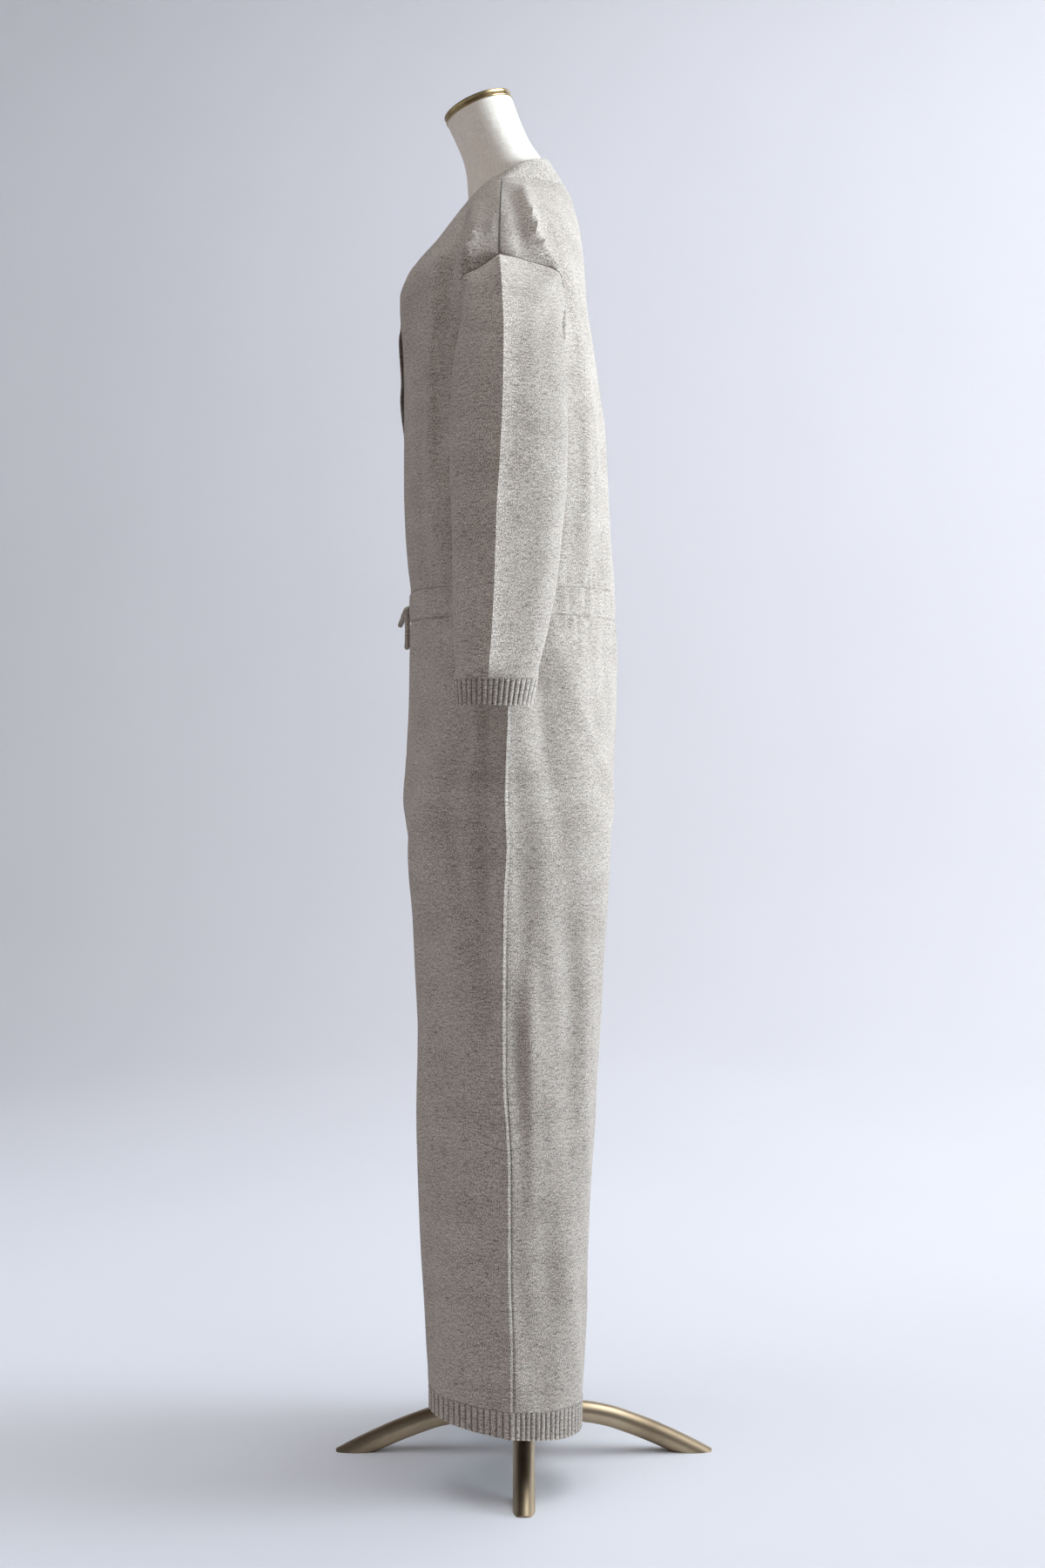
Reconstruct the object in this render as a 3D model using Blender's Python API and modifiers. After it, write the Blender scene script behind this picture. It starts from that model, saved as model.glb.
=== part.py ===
"""Long-sleeved knitted jumpsuit on a limbless dress form with a four-legged stand.

Metres, +Z up. The front faces -Y and the wearer's left is +X. The origin is on the floor,
under the middle of the stand's pole. All cloth is a wall of even thickness whose outer face
follows sections at named heights; ribs stand up from that face over a plain inside.
"""

import math

import bmesh
import bpy
import numpy as np

# ---- driving sizes
WALL = 0.0020  # knitted cloth
SEAM = 0.0003  # space between two sewn edges, and under whatever lies on a face
RIB_RISE = 0.0008

CASING_LOW = 0.9490
CASING_HIGH = 0.9810
UNDERARM = 1.1650
SHOULDER_POINT = 1.3288
NECK_SIDE_SEAM = 1.4365  # where the band seam meets the shoulder seam
NECK_BACK_SEAM = 1.4500
CROTCH_START = 0.8000
CROTCH = 0.6600
CROTCH_SHIFT = 0.0197  # the crotch hangs beside the pole, to the wearer's left
HEM_TOP = 0.1010
HEM_LOW = 0.0725
CUFF_TOP = 0.8785
CUFF_LOW = 0.8515

V_START = 1.2545  # the bodice's rows are even below this height and follow the V above it
OVERLAP_SINK = 0.0024  # the left front lies this far in, under the right one
BAND_CROWN = 0.0002  # the band is a little fuller along its middle
BAND_BACK_Y = 0.0291  # the band's free edge at the back of the neck
BAND_BACK_Z = 1.4775
BAND_BACK_BEND = 0.9

CUFF_RIBS = 36
HEM_RIBS = 66
CORD_RADIUS = 0.0030

FORM_CLEAR = (0.0074, 0.0056, 0.0052, 0.0033)  # cloth's outer face to form, centre to shoulder
FORM_CLEAR_AT = (0.0, 0.4, 0.80, 1.0)
FORM_FLOOR = 0.7650
CAP_THICK = 0.0085
CAP_LIP = 0.0010
POLE_RADIUS = 0.0125
HUB_RADIUS = 0.0340
HUB_LOW = 0.0300
HUB_HIGH = 0.0600
LEG_RADIUS = 0.0120

# ---- grid sizes
BODICE_ROWS_SIDE = 5
BODICE_ROWS_ARM = 10
BODICE_ROWS = BODICE_ROWS_SIDE + BODICE_ROWS_ARM
SHOULDER_COLUMNS = 9
NECK_COLUMNS = 5
TROUSER_COLUMNS = 12
CASING_COLUMNS = 18
SPREAD_BEND = 0.87
TOP_START = 0.55
TOP_CROWD = 1.2
FORM_COLUMNS = 6  # in each quarter


def monotone(xs, ys, x):
    """Cubic curve through the points that never swings past them."""
    step = np.diff(xs)
    slope = np.diff(ys) / step
    both = slope[:-1] * slope[1:]
    total = slope[:-1] + slope[1:]
    inner = np.where(both > 0, 2 * both / np.where(total == 0, 1, total), 0)
    tangent = np.concatenate([slope[:1], inner, slope[-1:]])
    x = np.clip(x, xs[0], xs[-1])
    i = np.clip(np.searchsorted(xs, x, side="right") - 1, 0, len(step) - 1)
    t = (x - xs[i]) / step[i]
    rise = step[i] * (tangent[i] * (t**3 - 2 * t**2 + t) + tangent[i + 1] * (t**3 - t**2))
    return ys[i] + (ys[i + 1] - ys[i]) * (3 * t**2 - 2 * t**3) + rise


class Table:
    """Rows of named columns, read as smooth curves of the first column."""

    def __init__(self, names, *rows):
        self.names = names.split()
        self.rows = np.array(sorted(rows), float)

    def __call__(self, name, x):
        return monotone(self.rows[:, 0], self.rows[:, self.names.index(name)], x)


# Bodice and casing sections. side_bend and centre_bend shape the section towards the side
# ridge and the centre line: 1 is an ellipse, less is fuller and more is pointed.
BODY = Table(
    "z half_width front back ridge centre_bend side_bend",
    (0.9490, 0.1855, -0.1287, 0.1030, -0.0180, 0.95, 1.00),
    (0.9810, 0.1850, -0.1290, 0.1030, -0.0180, 0.92, 1.00),
    (1.0135, 0.1870, -0.1312, 0.1010, -0.0185, 0.90, 0.95),
    (1.0600, 0.1895, -0.1338, 0.0975, -0.0190, 0.88, 0.90),
    (1.1050, 0.1920, -0.1347, 0.0948, -0.0200, 0.87, 0.87),
    (1.1650, 0.1990, -0.1350, 0.0915, -0.0210, 0.87, 0.87),
    (1.2200, 0.2015, -0.1365, 0.0840, -0.0220, 0.87, 0.87),
    (1.2700, 0.2030, -0.1395, 0.0775, -0.0230, 0.87, 0.87),
    (1.3014, 0.2045, -0.1413, 0.0728, -0.0242, 0.87, 0.87),
    (1.3133, 0.2050, -0.1413, 0.0716, -0.0250, 0.88, 0.88),
    (1.3288, 0.2050, -0.1370, 0.0705, -0.0260, 0.92, 0.92),
    (1.3429, 0.1990, -0.1290, 0.0698, -0.0260, 0.97, 0.97),
    (1.3559, 0.1905, -0.1187, 0.0690, -0.0260, 1.00, 1.00),
    (1.3677, 0.1825, -0.1079, 0.0680, -0.0258, 1.02, 1.02),
    (1.3835, 0.1700, -0.0962, 0.0664, -0.0255, 1.06, 1.06),
    (1.4051, 0.1465, -0.0826, 0.0628, -0.0250, 1.21, 1.21),
    (1.4230, 0.1180, -0.0725, 0.0580, -0.0245, 1.33, 1.33),
    (1.4373, 0.0905, -0.0632, 0.0540, -0.0242, 1.33, 1.33),
    (1.4475, 0.0720, -0.0580, 0.0485, -0.0238, 1.33, 1.33),
    (1.4525, 0.0640, -0.0550, 0.0455, -0.0235, 1.30, 1.30),
)

# Where the neck and front band is sewn on, and its free edge.
NECK = Table(
    "seam_z seam_x edge_z edge_x",
    (0.9810, 0.0110, 0.9810, -0.0110),
    (1.2550, 0.0110, 1.2550, -0.0110),
    (1.2866, 0.0125, 1.2866, -0.0085),
    (1.3014, 0.0200, 1.3020, 0.0025),
    (1.3212, 0.0330, 1.3225, 0.0165),
    (1.3429, 0.0460, 1.3450, 0.0292),
    (1.3677, 0.0595, 1.3710, 0.0413),
    (1.3950, 0.0725, 1.4000, 0.0540),
    (1.4180, 0.0830, 1.4255, 0.0635),
    (1.4365, 0.0920, 1.4485, 0.0700),
)

# How far the overlapping band's free edge stands away from the body.
LAP_LIFT = Table(
    "z lift",
    (0.9810, 0.0000),
    (1.1395, 0.0000),
    (1.1565, 0.0016),
    (1.1815, 0.0048),
    (1.2005, 0.0060),
    (1.2265, 0.0040),
    (1.2545, 0.0042),
    (1.2727, 0.0036),
    (1.2909, 0.0000),
    (1.4365, 0.0000),
)
BAND_ROWS = (1.0600, 1.1395, 1.1565, 1.1815, 1.2005, 1.2265)

# The armhole from the underarm (0) to the shoulder point (1).
ARMHOLE = Table(
    "along front_y front_z back_y back_z",
    (0.00, -0.0210, 1.1650, -0.0210, 1.1650),
    (0.12, -0.0460, 1.1780, 0.0100, 1.1740),
    (0.25, -0.0580, 1.2000, 0.0260, 1.1930),
    (0.45, -0.0640, 1.2400, 0.0360, 1.2320),
    (0.65, -0.0645, 1.2780, 0.0370, 1.2740),
    (0.80, -0.0610, 1.3040, 0.0340, 1.3030),
    (0.90, -0.0470, 1.3140, 0.0240, 1.3175),
    (1.00, -0.0260, 1.3288, -0.0260, 1.3288),
)

# Sleeve sections from the armhole (0) to the cuff (1): the outer crease, the inner side, the
# furthest points to the front and back, and the depth at which the crease runs.
SLEEVE = Table(
    "along outer_x outer_z inner_x inner_z front back ridge",
    (0.000, 0.2050, 1.3288, 0.1990, 1.1650, -0.0640, 0.0360, -0.0260),
    (0.080, 0.2260, 1.3080, 0.2008, 1.1580, -0.0690, 0.0400, -0.0245),
    (0.170, 0.2450, 1.2760, 0.2008, 1.1460, -0.0735, 0.0435, -0.0225),
    (0.280, 0.2630, 1.2300, 0.2005, 1.1250, -0.0780, 0.0470, -0.0208),
    (0.400, 0.2770, 1.1720, 0.2000, 1.0950, -0.0800, 0.0497, -0.0215),
    (0.520, 0.2845, 1.1100, 0.1995, 1.0550, -0.0797, 0.0475, -0.0240),
    (0.640, 0.2880, 1.0500, 0.2010, 1.0100, -0.0778, 0.0425, -0.0277),
    (0.760, 0.2900, 0.9900, 0.2050, 0.9600, -0.0768, 0.0365, -0.0296),
    (0.880, 0.2910, 0.9300, 0.2130, 0.9150, -0.0765, 0.0260, -0.0325),
    (1.000, 0.2920, 0.8785, 0.2220, 0.8785, -0.0733, 0.0148, -0.0365),
)
CUFF = Table(
    "z outer_x inner_x front back ridge",
    (CUFF_LOW, 0.2905, 0.2235, -0.0712, 0.0085, -0.0375),
    (CUFF_TOP, 0.2920, 0.2220, -0.0733, 0.0148, -0.0365),
)

# Trouser sections: the furthest points, the side crease, and the slope of the cut at the hem.
TROUSER = Table(
    "z half_width front back ridge side_bend tilt",
    (0.0725, 0.1840, -0.1050, 0.0645, -0.0150, 0.90, 0.13),
    (0.1010, 0.1840, -0.1054, 0.0655, -0.0150, 0.90, 0.08),
    (0.1600, 0.1845, -0.1070, 0.0680, -0.0150, 0.90, 0.04),
    (0.2500, 0.1865, -0.1110, 0.0725, -0.0175, 0.90, 0.01),
    (0.3550, 0.1900, -0.1138, 0.0780, -0.0175, 0.90, 0.00),
    (0.4000, 0.1920, -0.1151, 0.0806, -0.0192, 0.90, 0.00),
    (0.4700, 0.1950, -0.1170, 0.0842, -0.0230, 0.90, 0.00),
    (0.5690, 0.1995, -0.1206, 0.0889, -0.0225, 0.90, 0.00),
    (0.6500, 0.2035, -0.1240, 0.0922, -0.0215, 0.90, 0.00),
    (0.7040, 0.2060, -0.1295, 0.0945, -0.0185, 0.91, 0.00),
    (0.7505, 0.2080, -0.1340, 0.0995, -0.0205, 0.92, 0.00),
    (0.8000, 0.2085, -0.1332, 0.1022, -0.0190, 0.94, 0.00),
    (0.8500, 0.2050, -0.1308, 0.1039, -0.0170, 0.96, 0.00),
    (0.9000, 0.1970, -0.1299, 0.1040, -0.0175, 0.98, 0.00),
    (0.9490, 0.1855, -0.1287, 0.1030, -0.0180, 1.00, 0.00),
)
# The inner side of each leg, and how far the right leg is drawn narrower by the pole in it.
INSEAM = Table(
    "z left right right_depth",
    (0.0725, 0.0245, -0.0172, 0.84),
    (0.4000, 0.0235, -0.0178, 0.88),
    (0.6000, 0.0215, -0.0188, 0.95),
    (0.6600, 0.0197, -0.0197, 1.00),
)
INSEAM_Y = 0.0  # both inseams hang beside the pole
TROUSER_ROWS = (0.9487, 0.92, 0.87, 0.81, 0.77, 0.735, 0.70, 0.66, 0.58, 0.47, 0.36, 0.25, 0.1013)

# Long soft folds: where across the quarter (0 centre, 1 side), between which heights, how
# wide across and how high. A negative rise is a hollow.
BODY_FOLDS = (
    # back, middle, half_width, low, high, rise
    (False, 0.64, 0.10, 1.06, 1.40, 0.0045),
    (False, 0.80, 0.08, 1.05, 1.36, -0.0035),
    (False, 0.38, 0.12, 0.99, 1.24, 0.0025),
    (True, 0.52, 0.12, 1.02, 1.38, 0.0040),
    (True, 0.72, 0.10, 1.00, 1.33, -0.0030),
    (True, 0.25, 0.12, 1.00, 1.20, 0.0025),
)
TROUSER_FOLDS = (
    (False, 0.55, 0.12, 0.62, 0.92, 0.0030),
    (False, 0.78, 0.08, 0.20, 0.60, -0.0030),
    (True, 0.60, 0.12, 0.70, 0.93, 0.0035),
    (True, 0.76, 0.07, 0.30, 0.68, -0.0035),
)
GATHER_WAVES = 2.2  # waves in each quarter of the waist
GATHER_RISE = 0.0018
GATHER_REACH = 0.0450

# Form sections above the shoulder blades follow the cloth, at these heights (front, side,
# back), and those below have their own sizes.
FORM_UNDER_CLOTH = (
    (1.330, 1.335, 1.335),
    (1.352, 1.360, 1.362),
    (1.372, 1.383, 1.387),
    (1.392, 1.405, 1.411),
    (1.410, 1.4245, 1.433),
    (1.426, 1.4400, 1.4475),
)
FORM = Table(
    "z half_width front back ridge",
    (0.7650, 0.1540, -0.1120, 0.0830, -0.0180),
    (0.7850, 0.1650, -0.1170, 0.0890, -0.0180),
    (0.8600, 0.1720, -0.1180, 0.0930, -0.0180),
    (0.9300, 0.1650, -0.1120, 0.0880, -0.0180),
    (0.9900, 0.1480, -0.1050, 0.0760, -0.0180),
    (1.0600, 0.1270, -0.0980, 0.0630, -0.0180),
    (1.1100, 0.1300, -0.1020, 0.0620, -0.0200),
    (1.1700, 0.1430, -0.1130, 0.0680, -0.0210),
    (1.2300, 0.1530, -0.1260, 0.0680, -0.0220),
    (1.2800, 0.1590, -0.1330, 0.0660, -0.0235),
    (1.3080, 0.1620, -0.1325, 0.0645, -0.0250),
)
FORM_ARMHOLE = 0.1660  # the form's shoulders end here, short of the cloth's
# Neck rings, from the shoulders up to the cap.
FORM_NECK = (
    # front_y, front_z, back_y, back_z, half_width
    (-0.0640, 1.4400, 0.0320, 1.4600, 0.0545),
    (-0.0650, 1.4575, 0.0185, 1.4825, 0.0520),
    (-0.0690, 1.4780, 0.0070, 1.4995, 0.0510),
    (-0.0765, 1.4975, -0.0030, 1.5210, 0.0505),
    (-0.0875, 1.5205, -0.0135, 1.5495, 0.0505),
)


# ---- materials and objects


def material(name, colour, roughness, metallic=0.0):
    made = bpy.data.materials.new(name)
    made.use_nodes = True
    shader = made.node_tree.nodes["Principled BSDF"]
    shader.inputs["Base Color"].default_value = (*colour, 1)
    shader.inputs["Roughness"].default_value = roughness
    shader.inputs["Metallic"].default_value = metallic
    return made


def link(obj, collection, finish):
    if obj.name not in collection.objects:
        for other in obj.users_collection:
            other.objects.unlink(obj)
        collection.objects.link(obj)
    obj.data.materials.clear()
    obj.data.materials.append(finish)
    return obj


def closed_mesh(name, points, faces):
    """A mesh object whose faces all point out."""
    mesh = bpy.data.meshes.new(name)
    mesh.from_pydata([tuple(p) for p in points], [], faces)
    work = bmesh.new()
    work.from_mesh(mesh)
    bmesh.ops.recalc_face_normals(work, faces=work.faces)
    work.to_mesh(mesh)
    work.free()
    mesh.shade_smooth()
    mesh.set_sharp_from_angle(angle=math.radians(50))
    obj = bpy.data.objects.new(name, mesh)
    bpy.context.scene.collection.objects.link(obj)
    return obj


def strip(index, rows, columns, loop):
    """Quads of a grid of point numbers; a loop joins its last column to its first."""
    faces = []
    for i in range(rows - 1):
        for j in range(columns if loop else columns - 1):
            k = (j + 1) % columns
            faces.append((index(i, j), index(i, k), index(i + 1, k), index(i + 1, j)))
    return faces


def wall(name, outer, inner, loop=False):
    """A closed wall between two grids of points with the same rows and columns."""
    rows, columns = outer.shape[:2]
    count = rows * columns
    faces = strip(lambda i, j: i * columns + j, rows, columns, loop)
    faces += [tuple(count + n for n in face) for face in faces]
    rim = [[i * columns + j for j in range(columns)] for i in (0, rows - 1)]
    if not loop:
        rim += [[i * columns + j for i in range(rows)] for j in (0, columns - 1)]
    for line in rim:
        for a, b in zip(line, line[1:] + line[:1] if loop else line[1:]):
            faces.append((a, b, count + b, count + a))
    return closed_mesh(name, np.concatenate([outer.reshape(-1, 3), inner.reshape(-1, 3)]), faces)


def loft(name, rings):
    """A closed solid through rings of points, with a flat face at each end."""
    rows, columns = rings.shape[:2]
    faces = strip(lambda i, j: i * columns + j, rows, columns, True)
    faces += [tuple(range(columns)), tuple(range((rows - 1) * columns, rows * columns))]
    return closed_mesh(name, rings.reshape(-1, 3), faces)


def turned(name, profile, sides):
    """A solid turned round the Z axis from (radius, height) pairs, top to bottom."""
    mesh = bpy.data.meshes.new(name)
    edges = [(n, n + 1) for n in range(len(profile) - 1)]
    mesh.from_pydata([(radius, 0, height) for radius, height in profile], edges, [])
    obj = bpy.data.objects.new(name, mesh)
    screw = obj.modifiers.new("turned", "SCREW")
    screw.steps = sides
    screw.render_steps = sides
    screw.use_merge_vertices = True
    screw.merge_threshold = 0.00001
    return obj


def tube(name, route, radius, rounding):
    """A round tube along a route, with flat ends."""
    curve = bpy.data.curves.new(name, "CURVE")
    curve.dimensions = "3D"
    curve.bevel_depth = radius
    curve.bevel_resolution = rounding
    curve.use_fill_caps = True
    spline = curve.splines.new("POLY")
    spline.points.add(len(route) - 1)
    for point, place in zip(spline.points, route):
        point.co = (*place, 1)
    return bpy.data.objects.new(name, curve)


def unit(vectors):
    return vectors / np.maximum(np.linalg.norm(vectors, axis=-1, keepdims=True), 1e-12)


def mirrored(points):
    return points * np.array([-1.0, 1.0, 1.0])


def grid_normals(points, loop=False):
    """Unit normals of a grid, rows up and columns across; loop says that columns close."""
    if loop:
        across = np.roll(points, -1, axis=1) - np.roll(points, 1, axis=1)
    else:
        across = np.gradient(points, axis=1)
    return unit(np.cross(across, np.gradient(points, axis=0)))


def smoothstep(x):
    x = np.clip(x, 0, 1)
    return x * x * (3 - 2 * x)


def fold_rise(folds, across, z, back):
    """Sum of the soft folds at these places."""
    total = np.zeros(np.broadcast(across, z).shape)
    for is_back, middle, half_width, low, high, rise in folds:
        if is_back != back:
            continue
        side = np.exp(-(((across - middle) / half_width) ** 2) * 2)
        height = np.clip((z - low) / (high - low), 0, 1)
        total += rise * side * np.sin(math.pi * height)
    return total


def gather_rise(across, distance):
    """Gathers that start at a seam and die out with distance from it."""
    reach = np.clip(distance / GATHER_REACH, 0, None)
    return GATHER_RISE * np.sin(2 * math.pi * GATHER_WAVES * across) * reach * np.exp(1 - reach)


# ---- bodice


def power(base, exponent):
    return np.maximum(base, 0) ** exponent


def body_point(across, z, back, side):
    """Outer face of the body: across runs from the centre line (0) to the side ridge (1)."""
    angle = across * math.pi / 2
    ridge = BODY("ridge", z)
    depth = BODY("back" if back else "front", z) - ridge
    x = BODY("half_width", z) * power(np.sin(angle), BODY("centre_bend", z))
    y = ridge + depth * power(np.cos(angle), BODY("side_bend", z))
    parting = SEAM / 2 if back else -SEAM / 2
    return np.stack(np.broadcast_arrays(side * x, y + parting, z), -1)


def body_normal(across, z, back, side):
    step = 0.004
    inner = np.clip(across, step, 1 - step)
    over = body_point(inner + step, z, back, side) - body_point(inner - step, z, back, side)
    up = body_point(inner, z + step, back, side) - body_point(inner, z - step, back, side)
    normal = np.cross(over, up) * side * (-1 if back else 1)
    normal[..., 1] *= across < 1 - step
    normal[..., 0] *= across > step
    return unit(normal)


def lap_rise(x, z, side):
    """The left front sinks near the centre line to lie under the right one."""
    if side < 0:
        return np.zeros_like(x)
    near = smoothstep((0.050 - np.abs(x)) / 0.036)
    below_v = 1 - smoothstep((z - 1.308) / 0.030)
    return -OVERLAP_SINK * near * below_v


def body_faces(across, z, back, side):
    """Outer and inner points of a bodice panel."""
    base = body_point(across, z, back, side)
    normal = body_normal(across, z, back, side)
    rise = fold_rise(BODY_FOLDS, across, z, back) + gather_rise(across, z - CASING_HIGH)
    rise *= smoothstep((1 - across) / 0.12) * smoothstep(across / 0.10)
    if not back:
        rise = rise + lap_rise(base[..., 0], z, side)
    outer = base + normal * rise[..., None]
    return outer, outer - normal * WALL


def across_at_x(x, z):
    ratio = np.clip(x / BODY("half_width", z), 0, 1)
    return np.arcsin(ratio ** (1 / BODY("centre_bend", z))) * 2 / math.pi


def across_at_y(y, z, back):
    ridge = BODY("ridge", z)
    ratio = np.clip((y - ridge) / (BODY("back" if back else "front", z) - ridge), 0, 1)
    return np.arccos(ratio ** (1 / BODY("side_bend", z))) * 2 / math.pi


def x_at_across(across, z):
    return BODY("half_width", z) * power(np.sin(across * math.pi / 2), BODY("centre_bend", z))


def spread_width(z):
    """Half width at and below the shoulder point, kept up to the neck."""
    return BODY("half_width", np.minimum(z, SHOULDER_POINT))


def panel_grid(low, high, left, right):
    """Grid of (across, z) inside four edges of (x, z), closer together towards the side."""
    edges = []
    for edge in (low, high, left, right):
        ratio = np.clip(edge[:, 0] / spread_width(edge[:, 1]), 0, 1)
        edges.append(pairs(np.arcsin(ratio ** (1 / SPREAD_BEND)), edge[:, 1]))
    grid = coons(*edges)
    z = grid[..., 1]
    x = spread_width(z) * power(np.sin(grid[..., 0]), SPREAD_BEND)
    return across_at_x(x, z), z


def crowded(u, v):
    """Row places that draw together below the shoulder seam, but not along the two sides."""
    above = np.clip((v - TOP_START) / (1 - TOP_START), 0, 1)
    drawn = 1 - (1 - v) * (1 - above) ** TOP_CROWD
    inside = smoothstep(u / 0.15) * smoothstep((1 - u) / 0.12)
    return v + (drawn - v) * inside


def coons(low, high, left, right):
    """Grid of pairs inside four edges of pairs."""
    u, v = np.meshgrid(np.linspace(0, 1, len(low)), np.linspace(0, 1, len(left)))
    v = crowded(u, v)
    row = np.linspace(0, 1, len(left))
    left, right = (
        np.stack([np.interp(v, row, edge[:, k]) for k in (0, 1)], -1) for edge in (left, right)
    )
    u, v = u[..., None], v[..., None]
    ruled = (1 - v) * low + v * high + (1 - u) * left + u * right
    corners = (1 - u) * ((1 - v) * low[0] + v * high[0]) + u * ((1 - v) * low[-1] + v * high[-1])
    return ruled - corners


def pairs(across, z):
    return np.stack(np.broadcast_arrays(across, z), -1).astype(float)


def side_edge(back):
    """From the waist up the side seam, then up the armhole to the shoulder point."""
    seam_z = np.linspace(CASING_HIGH + SEAM, UNDERARM, BODICE_ROWS_SIDE + 1)[:-1]
    along = np.linspace(0, 1, BODICE_ROWS_ARM + 1)
    face = "back" if back else "front"
    z = ARMHOLE(face + "_z", along)
    across = across_at_y(ARMHOLE(face + "_y", along), z, back)
    across[[0, -1]] = 1
    seam = pairs(BODY("half_width", seam_z), seam_z)
    return np.concatenate([seam, pairs(x_at_across(across, z), z)])


def shoulder_edge():
    """The shoulder seam from the neck to the shoulder point, evenly spaced along it."""
    z = np.linspace(NECK_SIDE_SEAM, SHOULDER_POINT, 60)
    x = BODY("half_width", z)
    length = np.concatenate([[0], np.cumsum(np.hypot(np.diff(x), np.diff(z)))])
    z = np.interp(np.linspace(0, length[-1], SHOULDER_COLUMNS + 1), length, z)
    return pairs(BODY("half_width", z), z)


def band_seam_z(heights):
    """Rows where a front bodice meets its band: these up the opening, then up the V."""
    low = [CASING_HIGH + SEAM, *heights, V_START]
    return np.concatenate([low, np.linspace(V_START, NECK_SIDE_SEAM, BODICE_ROWS - 4)[1:]])


def front_grid():
    z = band_seam_z(np.linspace(CASING_HIGH, V_START, 6)[1:-1])
    left = pairs(NECK("seam_x", z), z)
    left[-1, 0] = BODY("half_width", z[-1])
    across = np.linspace(across_at_x(*left[0]), 1, SHOULDER_COLUMNS + 1)
    low = pairs(x_at_across(across, z[0]), z[0])
    return panel_grid(low, shoulder_edge(), left, side_edge(False))


def back_neck_edge():
    across = np.linspace(0, 1, NECK_COLUMNS + 1)
    return pairs(across, NECK_SIDE_SEAM + (NECK_BACK_SEAM - NECK_SIDE_SEAM) * (1 - across**2))


def back_grid():
    rows = BODICE_ROWS + 1
    z = np.linspace(CASING_HIGH + SEAM, NECK_BACK_SEAM, rows)
    across = np.linspace(0, 1, NECK_COLUMNS + SHOULDER_COLUMNS + 1)
    low = pairs(x_at_across(across, z[0]), z[0])
    neck = back_neck_edge()
    neck = pairs(x_at_across(neck[:, 0], neck[:, 1]), neck[:, 1])
    high = np.concatenate([neck, shoulder_edge()[1:]])
    return panel_grid(low, high, pairs(np.zeros(rows), z), side_edge(True))


def make_bodice(collection, finish):
    for side, word in ((1, "left"), (-1, "right")):
        faces = body_faces(*front_grid(), False, side)
        link(wall("bodice_front_" + word, *faces), collection, finish)
    halves = [body_faces(*back_grid(), True, side) for side in (-1, 1)]
    outer, inner = (
        np.concatenate([right[:, :0:-1], left], axis=1) for right, left in zip(*halves)
    )
    link(wall("bodice_back", outer, inner), collection, finish)


# ---- neck and front bands


def band_edge(side):
    """Free edge of a band: up the front opening, up the V and round the neck."""
    rows = band_seam_z(BAND_ROWS)
    z = NECK("edge_z", rows)
    x = NECK("edge_x", rows)
    across = across_at_x(np.abs(x), z)
    toward = side * np.where(x < 0, -1, 1)
    front = np.array([body_point(a, h, False, s) for a, h, s in zip(across, z, toward)])
    normal = np.array([body_normal(np.array(a), h, False, s) for a, h, s in zip(across, z, toward)])
    rise = lap_rise(front[:, 0], z, side)
    if side < 0:
        rise = rise + LAP_LIFT("lift", z)
    front = front + normal * rise[:, None]
    turn = np.linspace(0, math.pi / 2, NECK_COLUMNS + 1)[1:]
    side_neck = front[-1]
    back = np.stack(
        [
            side_neck[0] * np.cos(turn),
            side_neck[1] + (BAND_BACK_Y - side_neck[1]) * np.sin(turn),
            side_neck[2] + (BAND_BACK_Z - side_neck[2]) * np.sin(turn) ** BAND_BACK_BEND,
        ],
        -1,
    )
    back[-1, 0] = side * SEAM / 2
    return np.concatenate([front, back])


def band_seam(side):
    """The band's sewn edge, a seam's width inside the bodice's own edge."""
    z = band_seam_z(BAND_ROWS)
    across = across_at_x(NECK("seam_x", z), z)
    across[-1] = 1
    front, inner = body_faces(across, z, False, side)
    neck = back_neck_edge()[::-1][1:]
    back, back_inner = body_faces(neck[:, 0], neck[:, 1], True, side)
    points = np.concatenate([front, back])
    normals = unit(points - np.concatenate([inner, back_inner]))
    points[-1, 0] = side * SEAM / 2
    return points, normals


def make_bands(collection, finish):
    for side, word in ((1, "left"), (-1, "right")):
        seam, seam_normal = band_seam(side)
        edge = band_edge(side)
        seam = seam + unit(edge - seam) * SEAM
        middle = (seam + edge) / 2
        outer = np.stack([seam, middle, edge], axis=1)
        normal = grid_normals(outer) * -side
        normal[:, 0] = seam_normal
        normal = unit(normal)
        ends = normal[-1]
        ends[:, 0] = 0
        normal[-1] = unit(ends)
        outer[:, 1] += normal[:, 1] * BAND_CROWN
        link(wall("neck_band_" + word, outer, outer - normal * WALL), collection, finish)


# ---- waist casing


def make_casing(collection, finish):
    heights = np.array([CASING_LOW, (CASING_LOW + CASING_HIGH) / 2, CASING_HIGH])[:, None]
    puff = np.array([0.0, 0.0014, 0.0])[:, None, None]
    for back, word in ((False, "front"), (True, "back")):
        across = np.linspace(0, 1, CASING_COLUMNS // 2 + 1)[None, :]
        halves = []
        for side in (-1, 1):
            base = body_point(across, heights, back, side)
            normal = body_normal(np.broadcast_to(across, base.shape[:2]), heights, back, side)
            outer = base + normal * puff
            halves.append((outer, outer - normal * WALL))
        outer, inner = (
            np.concatenate([right[:, :0:-1], left], axis=1) for right, left in zip(*halves)
        )
        link(wall("waist_casing_" + word, outer, inner), collection, finish)


# ---- trousers


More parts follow.
